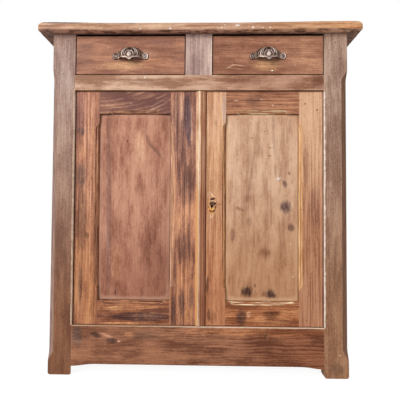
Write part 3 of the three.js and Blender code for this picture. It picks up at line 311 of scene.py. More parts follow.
faint = g.patches(seeded, (13, 60, 60), 3, 0.6, 0.3, 0.62)
strength = g.times(faint, g.line(g.step(broad, 0.3, 0.7), 0.4, 0.6))
g.feed(out["Rings"], g.times(late, strength))
bent = g.vector("ADD", seeded, g.join(0.0, wander, wander))
squeeze = g.math("DIVIDE", 1, given["Streak Width"])
g.feed(out["Streaks"], g.patches(bent, g.join(4.5, squeeze, squeeze), 4, 0.62, 0.3, 0.7))
fine = g.patches(bent, (10, 280, 280), 4, 0.6, 0.3, 0.7)
pores = g.patches(bent, (42, 400, 400), 2, 0.5, 0.6, 0.72)
g.feed(out["Fibres"], g.line(pores, -0.5, fine))
g.feed(out["Scuffs"], g.patches(seeded, (150, 210, 210), 3, 0.7, 0.28, 0.72))
g.feed(out["Blotches"], g.patches(seeded, (9, 26, 26), 4, 0.6, 0.34, 0.66))

# %% [markdown]
# ### Marks
#
# A knot, a stain, a fleck of old paint and a scratch are all one soft ellipse on the board. Noise
# frays its edge along the grain. The place is given along and across the board, in metres.

# %% Group: mark
mark_group, g, given, out = start_group(
    "mark",
    {"Place": None, "Along": 0.0, "Across": 0.0, "Half Length": 10 * MM, "Half Width": 10 * MM,
     "Turn": 0.0, "Soft": 0.35, "Fray": 0.5},
    ["Mask"],
)
along, across, depth = g.split(given["Place"])
run = g.minus(along, given["Along"])
rise = g.minus(across, given["Across"])
cosine = g.math("COSINE", given["Turn"])
sine = g.math("SINE", given["Turn"])
lengthwise = g.line(run, cosine, g.times(rise, sine))
crosswise = g.line(rise, cosine, g.times(run, sine, -1))
reach = g.hypot(g.math("DIVIDE", lengthwise, given["Half Length"]),
                g.math("DIVIDE", crosswise, given["Half Width"]))
fray = g.noise(given["Place"], (34, 150, 150), 3, 0.6)
frayed = g.sway(fray, g.times(given["Fray"], 2.4), reach)
mask = g.step(frayed, g.plus(1, given["Soft"]), g.minus(1, given["Soft"]))
cloudy = g.patches(given["Place"], (80, 140, 140), 3, 0.6, 0.3, 0.62)
g.feed(out["Mask"], g.times(mask, g.line(cloudy, 0.4, 0.68)))

# %% [markdown]
# ### Worn edges
#
# Hands and scrapers round a board's arris and bare its pale wood. The Bevel node gives a normal
# that is averaged over a small radius: near an arris that normal no longer points straight out of
# a face. The group also tells a cut chamfer by its slanting true normal.

# %% Group: worn edges
edge_group, g, given, out = start_group(
    "worn edges", {"Place": None, "Radius": 3 * MM, "Broken": 0.5}, ["Arris", "Chamfer"],
)


def squareness(graph, normal):
    """How far a normal lies from the nearest of the board's own axes: 0 is square on."""
    turned = graph.add("VectorTransform", {"Vector": normal}, vector_type="NORMAL",
                       convert_from="WORLD", convert_to="OBJECT").outputs[0]
    x, y, z = [graph.math("ABSOLUTE", part) for part in graph.split(graph.vector("NORMALIZE", turned))]
    return graph.minus(1, graph.math("MAXIMUM", graph.math("MAXIMUM", x, y), z))


averaged = g.add("Bevel", {"Radius": given["Radius"]}, samples=6).outputs[0]
exact = g.add("NewGeometry").outputs["True Normal"]
chamfer = g.step(squareness(g, exact), 0.06, 0.14)
bare = g.step(squareness(g, averaged), 0.004, 0.12)
worn_noise = g.noise(given["Place"], (22, 90, 90), 3, 0.65)
kept_low = g.line(given["Broken"], 0.5, 0.15)
kept_high = g.line(given["Broken"], 0.5, 0.4)
kept = g.step(worn_noise, kept_low, kept_high)
g.feed(out["Arris"], g.times(bare, kept, g.minus(1, chamfer)))
g.feed(out["Chamfer"], chamfer)

# %% [markdown]
# ### Wormholes
#
# Woodworm leaves round holes of one to two millimetres, here and there and never in a pattern.
# Voronoi cells scatter small balls through the wood, and only a share of the cells keeps its ball.
# Where a face cuts a ball there is a hole, which is round on every side of the board.

# %% Group: wormholes
hole_group, g, given, out = start_group(
    "wormholes", {"Place": None, "Cells Per Metre": 80.0, "Share": 0.1, "Radius": 1.4 * MM}, ["Mask"],
)
cells = g.add("TexVoronoi", {"Vector": given["Place"], "Scale": given["Cells Per Metre"]})
size = g.times(given["Radius"], given["Cells Per Metre"])
inside = g.step(cells.outputs["Distance"], size, g.times(size, 0.7))
chosen = g.math("LESS_THAN", g.split(cells.outputs["Color"])[0], given["Share"])
g.feed(out["Mask"], g.times(inside, chosen))

# %% [markdown]
# ## A board's material
#
# Each board names its colours in three steps, dark, middle and light, and the colour that its
# middle fades to at its far end. The grain slides along those steps. Marks multiply the colour, so
# the grain still shows inside a stain. Arrises get paler wood. A chamfer gets two colours in torn
# patches, its wood with painted shade and light: dark where it faces away from the lamp. Holes are
# nearly black, and the same masks drive the bump and the roughness.

# %% A material for one board
HOLE_COLOUR = (38, 26, 20)
SEED_STEP = 1.37
woods_made = []


def start_material(name):
    """A new material, its graph and the inputs of its shader."""
    material = bpy.data.materials.new(name)
    material.use_nodes = True
    return material, Graph(material.node_tree), material.node_tree.nodes["Principled BSDF"].inputs


def mark(x, z, half_x, half_z, shade, share=0.6, fray=0.5, soft=0.4, turn=0.0, deep=None):
    """A mark at x and z on a front board, in millimetres, turned by degrees from x to z. deep is how
    far back it reaches, in metres, on the top's edge."""
    return (x, z), (half_x, half_z), shade, share, fray, soft, turn, deep


def stain(graph, colour, place, axes, base, shown, spot):
    """Lays one mark on a board. shown is 0 on the board's back."""
    at, half, shade, share, fray, soft, turn, deep = spot
    upright = axes[0] == "z"
    order = (1, 0) if upright else (0, 1)
    along, across = [at[i] * MM for i in order]
    half_length, half_width = [half[i] * MM for i in order]
    angle = math.radians(turn) * (-1 if upright else 1)
    mask = graph.group(mark_group, Place=place, Along=along, Across=across, Half_Length=half_length,
                       Half_Width=half_width, Turn=angle, Soft=soft, Fray=fray)["Mask"]
    if deep is not None:
        mask = graph.times(mask, graph.step(graph.split(place)[2], deep, deep - 4 * MM))
    return graph.tint(graph.times(mask, shown, share), colour, shade, base)


def pine(name, axes, tones, gap=6, streak=20, wander=8, pith=(0.0, 0.02, 0.09), dip=0.0, fade=None,
         ends=(0.0, 1.0), lines=None, arris=None, chamfer=None, holes=0.0, extra=None, marks=(), **shares):
    """A stripped pine material. axes names which of x, y and z run along, across and through the board.
    gap, streak and wander are in millimetres. ends are the places along the board, in metres, where
    the fade starts and is complete; lines are those where its rings and streaks set in and are
    strong. arris is a colour, its share, its radius in millimetres and how broken it is. shares
    say how much each output of the grain group moves the tone."""
    dark, middle, light = tones
    weights = {"streaks": 0.62, "blotches": 0.45, "fibres": 0.38, "scuffs": 0.26, "rings": -0.3}
    weights.update(shares)
    material, graph, shader = start_material(name)
    parts = dict(zip("xyz", graph.split(graph.object_place())))
    place = graph.join(*[parts[letter] for letter in axes])
    along = parts[axes[0]]
    seed = len(woods_made) * SEED_STEP + 0.5
    woods_made.append(name)
    figure = graph.group(pine_grain, Place=place, Seed=seed, Pith=pith, Dip=dip, Ring_Gap=gap * MM,
                         Wander=wander * MM, Streak_Width=streak * MM)
    tone = 0.5
    for key, weight in weights.items():
        average = 0.0 if key == "rings" else 0.5
        if lines and key in ("rings", "streaks"):
            weight = graph.times(graph.step(along, *lines), weight)
        tone = graph.line(graph.minus(figure[key.capitalize()], average), weight, tone)
    colour = graph.ramp(tone, [(0.08, dark), (0.5, middle), (0.92, light)])
    if fade:
        colour = graph.tint(graph.step(along, *ends), colour, fade, middle)
    backward = graph.split(graph.add("TexCoord").outputs["Normal"])[1]
    shown = graph.step(backward, 0.6, 0.3)
    for spot in marks:
        colour = stain(graph, colour, place, axes, middle, shown, spot)
    relief = graph.line(figure["Rings"], 0.5, graph.times(figure["Fibres"], 0.35))
    if arris:
        bare, share, radius, broken = arris
        edges = graph.group(edge_group, Place=place, Radius=radius * MM, Broken=broken)
        # A chamfer's two colours, in torn patches, are its own wood with painted shade and painted light of
        # its stepped moulding: dark where it faces away from the lamp, light where it faces it.
        if chamfer:
            torn = graph.patches(place, (16, 380, 380), 3, 0.6, 0.45, 0.58)
            chamfer_colour_and_shade = graph.paint(torn, linear(chamfer[0]), chamfer[1])
            colour = graph.mix(edges["Chamfer"], colour, chamfer_colour_and_shade)
        colour = graph.paint(graph.times(edges["Arris"], share), colour, bare)
    if extra:
        colour, relief = extra(graph, colour, relief, place, parts)
    if holes:
        hole = graph.group(hole_group, Place=place, Share=holes)["Mask"]
        colour = graph.paint(hole, colour, HOLE_COLOUR)
        relief = graph.minus(relief, graph.times(hole, 2.5))
    graph.feed(shader["Base Color"], colour)
    graph.feed(shader["Normal"], graph.bump(relief, 0.55, 0.5 * MM))
    graph.feed(shader["Roughness"], graph.line(figure["Fibres"], 0.18, 0.6))
    shader["Specular IOR Level"].default_value = 0.22
    return material


def dress(node, material):
    """Gives one piece of the model its finish."""
    for slot in nodes[node].material_slots:
        slot.material = material


def board(node, *description, **finish):
    """Gives one piece of the model a pine of its own."""
    dress(node, pine(*description, **finish))


# %% [markdown]
# ## Floor, world and lamps
#
# The photograph stands on plain white. A white floor would need more light than the wood can take,
# so camera rays see a floor that is mostly its own glow, with enough plain white left to show the
# shadow. The world is white to camera and mirror rays and a softer grey to everything else.

# %% Floor
FLOOR_HALF = 6.0
FLOOR_GLOW = 0.925
FLOOR_SHADOWED = (0.17, 0.17, 0.17, 1)
FLOOR_PLAIN = (0.5, 0.5, 0.5, 1)
WHITE = (1, 1, 1, 1)


def seen_directly(graph):
    """1 for camera rays and for what they see by a mirror or through glass."""
    rays = graph.add("LightPath").outputs
    mirrored = graph.math("MAXIMUM", rays["Is Camera Ray"], rays["Is Glossy Ray"])
    return graph.math("MAXIMUM", mirrored, rays["Is Transmission Ray"])


def make_floor():
    mesh = bpy.data.meshes.new("floor")
    spots = [(-1, -1), (1, -1), (1, 1), (-1, 1)]
    mesh.from_pydata([(x * FLOOR_HALF, y * FLOOR_HALF, 0) for x, y in spots], [], [(0, 1, 2, 3)])
    floor = bpy.data.objects.new("floor", mesh)
    bpy.context.scene.collection.objects.link(floor)
    material, graph, _ = start_material("studio_floor")
    tree_nodes = material.node_tree.nodes
    tree_nodes.remove(tree_nodes["Principled BSDF"])
    glow = graph.add("Emission", {"Color": WHITE, "Strength": FLOOR_GLOW}).outputs[0]
    shadowed = graph.add("BsdfDiffuse", {"Color": FLOOR_SHADOWED}).outputs[0]
    lit = graph.add("AddShader", {0: glow, 1: shadowed}).outputs[0]
    plain = graph.add("BsdfDiffuse", {"Color": FLOOR_PLAIN}).outputs[0]
    both = graph.add("MixShader", {0: seen_directly(graph), 1: plain, 2: lit}).outputs[0]
    graph.feed(tree_nodes["Material Output"].inputs["Surface"], both)
    mesh.materials.append(material)


make_floor()

# %% World and lamps
WORLD_LIGHT = 0.42


def make_world():
    world = bpy.data.worlds.new("studio")
    world.use_nodes = True
    bpy.context.scene.world = world
    graph = Graph(world.node_tree)
    soft = world.node_tree.nodes["Background"]
    soft.inputs["Color"].default_value = WHITE
    soft.inputs["Strength"].default_value = WORLD_LIGHT
    white = graph.add("Background", {"Color": WHITE, "Strength": 1.0}).outputs[0]
    both = graph.add("MixShader", {0: seen_directly(graph), 1: soft.outputs[0], 2: white}).outputs[0]
    graph.feed(world.node_tree.nodes["World Output"].inputs["Surface"], both)


def area_lamp(name, place, target, size, watts):
    data = bpy.data.lights.new(name, "AREA")
    data.size = size
    data.energy = watts
    lamp = bpy.data.objects.new(name, data)
    lamp.location = place
    lamp.rotation_euler = (Vector(target) - Vector(place)).to_track_quat("-Z", "Y").to_euler()
    bpy.context.scene.collection.objects.link(lamp)


make_world()
area_lamp("key", (-3.6, -5.0, 2.8), (0, 0, 0.5), 2.6, 285)
area_lamp("fill", (3.6, -4.8, 1.6), (0, 0, 0.5), 3.0, 36)
area_lamp("back", (0.6, 3.2, 2.2), (0, 0, 0.6), 2.2, 60)
bpy.context.scene.view_settings.view_transform = "Standard"
print("world light:", WORLD_LIGHT)

# %% [markdown]
# ## Posts and the upright between the drawers
#
# The posts are the greyest wood: pinkish grey under the top and browner towards the floor. Where
# the doors have rubbed, the inner arris is bare cream wood. The outer chamfer is darker than the
# face on the right, because the light comes from the left.

# %% Posts
CREAM = (240, 214, 189)
GREY_BROWN = (104, 84, 76)
BLACKENED = (52, 40, 36)
PAINT_WHITE = (246, 240, 232)
FLECK = (236, 210, 186)
DIMMED = (0.86, 0.86 * 0.97, 0.86 * 0.93)


def worn_inner_arris(inner_x, outward, width, torn, colour):
    """Bare wood on the post's inner arris beside the door opening, with a torn edge."""
    dim = [value * share for value, share in zip(colour, DIMMED)]

    def paint(graph, shade, relief, place, parts):
        ragged = graph.noise(place, (70, 120, 120), 4, 0.65)
        reach = graph.sway(ragged, torn, graph.times(graph.minus(parts["x"], inner_x), outward))
        near = graph.step(reach, width + 0.7 * MM, width - 0.7 * MM)
        under_rail = graph.step(parts["z"], RAIL_LOW + 4 * MM, RAIL_LOW - 6 * MM)
        over_apron = graph.step(parts["z"], APRON_HIGH - 2 * MM, APRON_HIGH + 6 * MM)
        in_front = graph.step(parts["y"], FRONT_Y + 5.2 * MM, FRONT_Y + 4.6 * MM)
        worn = graph.paint(graph.step(ragged, 0.35, 0.65), linear(colour), dim)
        mask = graph.times(near, under_rail, graph.times(over_apron, in_front))
        return graph.mix(mask, shade, worn), relief
    return paint


edge_soft = ((206, 178, 158), 0.45, 2.5, 0.55)
board(
    "front_post_left", "post_wood_left", "zxy", [(141, 110, 98), (170, 137, 121), (194, 165, 148)],
    gap=5, streak=26, wander=5, rings=-0.14, streaks=0.4, blotches=0.5, scuffs=0.4, fade=(129, 84, 59),
    ends=(0.92, 0.14), chamfer=((134, 106, 94), (166, 134, 120)), holes=0.07, arris=edge_soft,
    extra=worn_inner_arris(LEFT_INNER_X, -1, 3.6 * MM, 2.4 * MM, (240, 212, 186)),
    marks=[
        mark(-410, 900, 60, 110, (158, 132, 126), 0.4, fray=0.3, soft=0.9),
        mark(-390, 988, 1.6, 1.6, BLACKENED, 0.9, fray=0.1),
        mark(-405, 890, 1.8, 2.4, BLACKENED, 0.8, fray=0.1),
        mark(-407, 431, 1.6, 1.6, BLACKENED, 0.9, fray=0.1),
    ],
)
board(
    "front_post_right", "post_wood_right", "zxy", [(139, 106, 89), (167, 134, 117), (191, 160, 141)],
    gap=5, streak=22, wander=5, rings=-0.14, streaks=0.4, blotches=0.5, scuffs=0.4,
    fade=(156, 112, 83), ends=(0.92, 0.1), chamfer=((116, 80, 60), (142, 102, 78)), holes=0.4,
    arris=edge_soft, extra=worn_inner_arris(RIGHT_INNER_X, 1, 3.8 * MM, 3 * MM, (238, 220, 206)),
    marks=[
        mark(402, 982, 2.2, 1.8, BLACKENED, 0.9, fray=0.1),
        mark(385, 960, 1.4, 1.4, BLACKENED, 0.9, fray=0.1),
        mark(418, 934, 1.8, 1.8, BLACKENED, 0.8, fray=0.1),
        mark(392, 927, 1.4, 1.6, BLACKENED, 0.8, fray=0.1),
        mark(415, 67, 2.6, 2.0, PAINT_WHITE, 0.9, fray=0.2),
        mark(405, 26, 20, 16, GREY_BROWN, 0.5, fray=0.7),
    ],
)
board(
    "drawer_divider", "divider_wood", "zxy", [(146, 116, 109), (182, 152, 142), (208, 178, 163)],
    gap=3.2, streak=7, wander=2, pith=(0, 0.12, 0.05), rings=-0.18, streaks=0.6, holes=0.08,
    arris=edge_soft,
    marks=[
        mark(3, 928, 1.8, 1.8, BLACKENED, 0.9, fray=0.1), mark(34, 948, 6, 60, (222, 194, 178)),
    ],
)
print("posts and divider dressed")

# %% [markdown]
# ## Middle rail and apron
#
# Both rails run from post to post with level grain. The middle rail is tan with darker smears and
# a long scratch. The apron shows bold wavy rings, two knots and a dry split under the right door.

# %% Rails
board(
    "middle_rail", "middle_rail_wood", "xzy", [(154, 110, 85), (190, 149, 122), (218, 180, 152)],
    gap=9, streak=13, wander=10, pith=(0.1, 0.83, -0.12), rings=-0.3, streaks=0.35, blotches=0.8,
    fade=(170, 124, 99), ends=(-0.12, 0.2), arris=((226, 194, 160), 0.6, 3, 0.4),
    marks=[
        mark(-172, 868, 30, 12, (150, 112, 90)), mark(-160, 878, 2.5, 1.5, PAINT_WHITE, 0.8, fray=0.2),
        mark(50, 884, 8, 2, (232, 206, 176), 0.8),
        mark(321, 861, 26, 1.1, (222, 190, 164), 0.8, fray=0.1, turn=41),
        mark(356, 862, 20, 22, (138, 96, 76)), mark(-20, 872, 34, 9, (160, 112, 84), 0.5),
        mark(150, 868, 50, 12, (146, 106, 84), 0.45),
    ],
)


def lit_and_worn_upper_arris(graph, shade, relief, place, parts):
    """The apron's upper arris: cream wood rubbed bare by the doors, with a painted highlight where its
    top edge faces the light, most of all on the right.
    """
    ragged = graph.noise(place, (30, 160, 160), 3, 0.6)
    drop = graph.sway(ragged, 3.6 * MM, graph.minus(APRON_HIGH, parts["z"]))
    in_front = graph.step(parts["y"], FRONT_Y + 9 * MM, FRONT_Y + 6 * MM)
    mask = graph.times(graph.step(drop, 2.4 * MM, 1.2 * MM), in_front, 0.9)
    rightward = graph.step(parts["x"], -0.25, 0.1)
    # The band is partly bare wood and partly a painted highlight, paler on the right.
    bare = graph.paint(rightward, linear((204, 166, 136)), (242, 216, 190))
    return graph.mix(mask, shade, bare), relief


board(
    "apron_rail", "apron_wood", "xzy", [(104, 60, 40), (149, 99, 73), (182, 124, 90)], gap=8.5,
    streak=16, wander=13, pith=(0.05, 0.22, -0.17), rings=-0.6, streaks=0.24, blotches=0.5,
    fade=(136, 84, 58), ends=(0.05, 0.3), lines=(-0.3, 0.1), arris=((214, 180, 150), 0.5, 2.5, 0.45),
    extra=lit_and_worn_upper_arris,
    marks=[
        mark(-354, 114, 15, 28, GREY_BROWN, 0.7), mark(-297, 116, 15, 7, (76, 50, 40), 1.0, turn=-12),
        mark(-251, 101, 17, 8, (86, 58, 48), 0.95),
        mark(-266, 116, 18, 4, (196, 144, 118), 0.7, turn=-20),
        mark(-229, 99, 5, 3, (206, 160, 134), 0.9), mark(-197, 119, 15, 5, (214, 150, 104), 0.7),
        mark(-150, 118, 40, 14, (112, 82, 68), 0.45),
        mark(190, 131, 200, 13, (188, 126, 86), 0.7, fray=0.4),
        mark(199, 119, 1.5, 7, BLACKENED, 0.95, fray=0.1, turn=-12),
        mark(203, 132, 0.7, 12, BLACKENED, 0.7, fray=0.1, turn=-12),
    ],
)
print("rails dressed")

# %% [markdown]
# ## Drawer fronts
#
# The drawer fronts are rubbed smooth and reddish, paler under the pulls where fingers have been.

# %% Drawer fronts
drawer_edge = ((196, 150, 120), 0.35, 2, 0.5)
board(
    "left_drawer_front", "left_drawer_wood", "xzy", [(138, 91, 72), (168, 116, 92), (194, 140, 110)],
    gap=9, streak=14, wander=18, pith=(-0.3, 0.99, -0.14), rings=-0.34, streaks=0.22, blotches=0.45,
    fibres=0.32, arris=drawer_edge,
    marks=[
        mark(-222, 914, 54, 13, (216, 164, 122), 0.75, soft=0.6),
        mark(-336, 971, 24, 9, (118, 80, 72), 0.5, soft=0.7),
        mark(-346, 940, 28, 40, (146, 102, 86), 0.7, soft=0.7),
        mark(-130, 925, 40, 20, (192, 134, 98), 0.5, soft=0.8),
        mark(-118, 986, 44, 8, (116, 82, 76), 0.55, soft=0.7),
        mark(-150, 955, 34, 8, (186, 138, 112), soft=0.7, turn=-18),
    ],
)
board(
    "right_drawer_front", "right_drawer_wood", "xzy", [(122, 76, 56), (151, 100, 77), (186, 132, 102)],
    gap=5, streak=9, wander=7, pith=(0.1, 0.86, -0.16), rings=-0.14, streaks=0.26, blotches=0.5,
    fibres=0.32, fade=(176, 124, 96), ends=(0.1, 0.34), arris=drawer_edge,
    marks=[
        mark(92, 911, 14, 1.4, (226, 182, 150), 0.9, fray=0.2, turn=24),
        mark(119, 915, 20, 1.4, (226, 182, 150), 0.9, fray=0.2, turn=-8),
        mark(110, 905, 24, 1.2, (206, 160, 128), 0.7, fray=0.2, turn=-6),
        mark(80, 972, 26, 12, (120, 80, 64), 0.5, soft=0.8),
        mark(202, 914, 34, 14, (200, 148, 108), 0.8, soft=0.6),
        mark(217, 899, 3, 1.4, PAINT_WHITE, 0.8, fray=0.2),
    ],
)
print("drawer fronts dressed")

# %% [markdown]
# ## Doors
#
# Each door is five boards from different trees. The left one is red and purple with grey stains.
# The right one is honey coloured, with dark spots on its panel and raw edges on its rails.

# %% Left door
PURPLE = (104, 74, 70)
ORANGE_LIGHT = (222, 160, 118)
door_edge = ((216, 172, 138), 0.4, 2.2, 0.5)
board(
    "left_door_hinge_stile", "left_hinge_stile_wood", "zxy",
    [(138, 88, 70), (192, 134, 106), (224, 168, 132)], gap=4.5, streak=8, wander=4,
    pith=(0.4, -0.45, 0.02), rings=-0.34, streaks=0.42, blotches=0.4, fade=(180, 120, 84),
    ends=(0.66, 0.3), chamfer=((104, 58, 40), (186, 128, 90)), arris=door_edge,
    marks=[
        # Painted shade: a dark red band down the stile's left edge stands for the shadowed gap at the hinge.
        mark(-370, 500, 2.6, 330, (140, 70, 50), 0.8, fray=0.2),
        mark(-356, 780, 16, 62, (176, 126, 116), soft=0.7), mark(-352, 718, 12, 13, GREY_BROWN, 0.55),
        mark(-350, 586, 15, 34, GREY_BROWN, 0.65), mark(-347, 462, 15, 88, (112, 80, 66)),
        mark(-330, 408, 6, 9, BLACKENED), mark(-311, 640, 9, 95, ORANGE_LIGHT, 0.5),
        mark(-345, 655, 13, 22, ORANGE_LIGHT, 0.5), mark(-318, 228, 20, 70, (212, 150, 112), 0.5),
        mark(-349, 262, 6, 70, PURPLE),
    ],
)
board(
    "left_door_top_rail", "left_top_rail_wood", "xzy", [(92, 58, 52), (122, 80, 70), (204, 150, 120)],
    gap=11, streak=30, wander=7, pith=(-0.33, 0.88, -0.2), dip=0.34, rings=0.24, streaks=0.06,
    blotches=0.24, fibres=0.12, scuffs=0.1, chamfer=((84, 46, 34), (206, 150, 110)), arris=door_edge,
    marks=[
        mark(-285, 806, 26, 30, (168, 118, 98), 0.4, soft=0.8),
        mark(-202, 802, 2, 1.5, (214, 186, 172), 0.7, fray=0.2),
        mark(-128, 790, 34, 3, (186, 140, 120), 0.7, fray=0.5, turn=24),
        mark(-120, 806, 26, 2, (176, 132, 114), fray=0.5, turn=30),
        mark(-180, 815, 60, 14, (108, 70, 62), soft=0.8),
    ],
)
board(
    "left_door_bottom_rail", "left_bottom_rail_wood", "xzy",
    [(106, 58, 40), (152, 94, 66), (204, 142, 98)], gap=6, streak=7, wander=8,
    pith=(-0.1, 0.28, -0.19), rings=-0.34, streaks=0.34, chamfer=((84, 44, 32), (190, 132, 94)),
    arris=door_edge,
    marks=[
        mark(-166, 168, 88, 13, (92, 58, 50), 1.0, fray=0.2, soft=0.2),
        mark(-120, 186, 44, 9, (106, 64, 50), 0.7, fray=0.5),
        mark(-190, 148, 110, 4, (206, 144, 98), fray=0.5),
        mark(-240, 192, 30, 7, (196, 138, 96), fray=0.5), mark(-270, 172, 24, 18, (112, 68, 52), 0.5),
    ],
)
board(
    "left_door_meeting_stile", "meeting_stile_wood", "zxy",
    [(122, 80, 66), (180, 126, 101), (224, 164, 124)], gap=6, streak=9, wander=5,
    pith=(0.3, -0.16, 0.02), rings=-0.3, streaks=0.5, blotches=0.45, fade=(168, 112, 84),
    ends=(0.6, 0.25), chamfer=((150, 104, 78), (222, 176, 142)), arris=door_edge,
    marks=[
        mark(-32, 758, 10, 82, (116, 84, 82), 1.0, fray=0.15, soft=0.25, turn=2),
        mark(-46, 745, 42, 105, (158, 114, 100), fray=0.3, soft=0.8),
        mark(-50, 770, 1.8, 62, (224, 176, 150), 0.8, fray=0.2, turn=2),
        mark(-21, 735, 1.6, 70, (212, 166, 142), 0.7, fray=0.2, turn=2),
        mark(-66, 775, 6, 55, PURPLE, 0.5, fray=0.4), mark(-40, 600, 7, 60, PURPLE, 0.25, turn=4),
        mark(-29, 556, 15, 48, PURPLE, 0.4), mark(-38, 622, 7, 30, (208, 152, 122)),
        mark(-42, 440, 14, 78, (214, 154, 120), 0.3), mark(-42, 374, 15, 34, PURPLE, 0.3),
        mark(-43, 296, 15, 44, (218, 156, 118), 0.55), mark(-48, 212, 8, 40, PURPLE, 0.75),
        mark(-72, 190, 6, 38, PURPLE, 0.7), mark(-18, 228, 6, 34, PURPLE, 0.75),
        mark(-28, 174, 9, 24, (222, 160, 112), 0.5),
    ],
)
print("left door frame dressed")

# %% [markdown]
# The keyhole has lost its escutcheon. What is left is a lozenge of raw wood: scratched pale strokes
# where the plate's outline was, grime in two crescents, and a yellow patch that the key has rubbed.

# %% Right door
KEYHOLE = Vector((41.3, 0.0, 497.0))
RAW_YELLOW = (238, 180, 104)
GRIME = (84, 54, 46)
LOZENGE = [
    (0, 0, (12, 34), (226, 166, 112), 0, 0.6), (-12, 34, (1.8, 9), CREAM), (0, 34, (12.4, 1.7), CREAM, -46),
    (-4.5, -30, (1.6, 7), CREAM), (3.6, -27, (13, 1.7), CREAM, 52), (-18, 10, (1.5, 9), CREAM, 0, 0.8),
    (1.5, 21, (8, 3.4), GRIME, 16), (0.5, 7.2, (8.5, 6.5), GRIME), (4.1, 14.4, (8, 1.8), CREAM, -8),
    (-0.7, -9, (9, 6), RAW_YELLOW), (4, -7, (4, 2), CREAM, 20), (7, 5.5, (8.5, 2.4), (40, 26, 26), 38),
    (10.8, -4, (1.6, 8), GRIME, -15), (-10.8, -1.8, (2, 2.6), GRIME), (-3, -14.5, (5, 2.2), GRIME, -32),
    (5, -15, (5, 2.2), GRIME, 36), (2.3, -22, (4, 3), RAW_YELLOW), (20, 5, (9, 2), (150, 96, 70), 0, 0.5),
]


def by_keyhole(over, up, half, shade, turn=0, share=1.0):
    """A mark placed from the middle of the keyhole, in millimetres."""
    return mark(KEYHOLE.x + over, KEYHOLE.z + up, *half, shade, share, 0.35, 0.3, turn)


lozenge_marks = [by_keyhole(*spot) for spot in LOZENGE]
board(
    "right_door_lock_stile", "lock_stile_wood", "zxy",
    [(184, 130, 94), (215, 163, 123), (234, 187, 147)], gap=4, streak=9, wander=3,
    pith=(0.4, 0.2, 0.02), rings=-0.18, streaks=0.5, fade=(188, 126, 88), ends=(0.7, 0.25),
    chamfer=((104, 60, 38), (206, 146, 90)), holes=0.08, arris=door_edge,
    marks=lozenge_marks + [
        mark(34, 770, 30, 80, (204, 151, 121), 0.5, soft=0.8),
        mark(52, 744, 3, 9, (140, 110, 98), 0.4), mark(77, 790, 6, 46, (196, 168, 154), 0.7, fray=0.3),
        mark(79, 670, 3, 50, (140, 96, 72), 0.7), mark(30, 262, 4, 30, (104, 66, 48), 0.8),
        mark(33, 176, 5, 16, (112, 72, 50), 0.7), mark(45, 170, 10, 20, (150, 96, 64), 0.5),
    ],
)
board(
    "right_door_top_rail", "right_top_rail_wood", "xzy",
    [(124, 78, 56), (172, 117, 88), (200, 142, 106)], gap=5, streak=6, wander=3,
    pith=(0.1, 0.7, -0.17), rings=-0.35, streaks=0.6, chamfer=((158, 100, 56), (248, 222, 178)),
    arris=door_edge,
    marks=[
        mark(163, 812, 22, 20, (112, 72, 60), 0.55), mark(111, 812, 5, 1.4, FLECK, 0.9, fray=0.4),
        mark(186, 815, 4, 1.3, FLECK, 0.9, fray=0.4), mark(221, 798, 3.4, 1.8, FLECK, 0.8, fray=0.4),
        mark(95, 795, 2.4, 1.2, FLECK, 0.8, fray=0.4),
        mark(170, 813, 60, 0.8, (108, 62, 44), 0.8, fray=0.3),
        mark(150, 805, 50, 0.8, (108, 62, 44), 0.7, fray=0.3),
    ],
)
board(
    "right_door_bottom_rail", "right_bottom_rail_wood", "xzy",
    [(124, 70, 42), (173, 109, 71), (216, 150, 100)], gap=6, streak=8, wander=10,
    pith=(0.2, 0.28, -0.19), rings=-0.4, streaks=0.6, chamfer=((150, 88, 52), (250, 224, 182)),
    arris=door_edge,
    marks=[
        mark(129, 168, 14, 24, (98, 64, 50), 0.9, fray=0.4),
        mark(216, 178, 24, 14, (112, 64, 42), 0.8), mark(184, 166, 20, 12, (206, 138, 92)),
        mark(262, 160, 24, 8, (204, 138, 92)), mark(266, 186, 22, 6, (206, 142, 96)),
        mark(151, 178, 7, 10, (222, 166, 128), 0.8), mark(215, 158, 60, 9, (112, 66, 44), 0.5),
    ],
)
board(
    "right_door_hinge_stile", "right_hinge_stile_wood", "zxy",
    [(176, 125, 95), (219, 172, 136), (236, 192, 156)], gap=4.2, streak=7, wander=3,
    pith=(0.2, 0.47, 0.01), rings=-0.5, streaks=0.6, blotches=0.2, fade=(184, 130, 97),
    ends=(0.74, 0.42), lines=(0.74, 0.62), chamfer=((206, 150, 96), (240, 196, 142)), holes=0.1,
    arris=door_edge,
    marks=[
        mark(316, 802, 2, 2.6, BLACKENED, 0.9, fray=0.2),
        mark(351, 784, 2.6, 2, BLACKENED, 0.9, fray=0.2), mark(318, 620, 8, 50, (160, 116, 92), 0.4),
        mark(344, 490, 16, 60, (160, 122, 106), 0.4),
    ],
)
print("right door frame dressed")

# %% [markdown]
# ### The astragal
#
# The strip on the meeting edge is planed to a slope, a flat crown, a quirk and a bead. Its lower
# half is bare yellow pine on the slope. The crown carries a pale painted highlight, strongest on the
# upper half, and the quirk and the bead, which face away from the lamp, carry painted shade.

# %% Astragal
SLOPE_END = (8.4 * MM, 7.2 * MM)
RIDGE = 9 * MM
QUIRK = (13 * MM, 16 * MM)
QUIRK_END = (21.5 * MM, 20 * MM)
BEAD = (22.8 * MM, 23.8 * MM)
YELLOW_PLACES = (0.575, 0.53)
strip_x = corners("left_door_astragal")[0].x


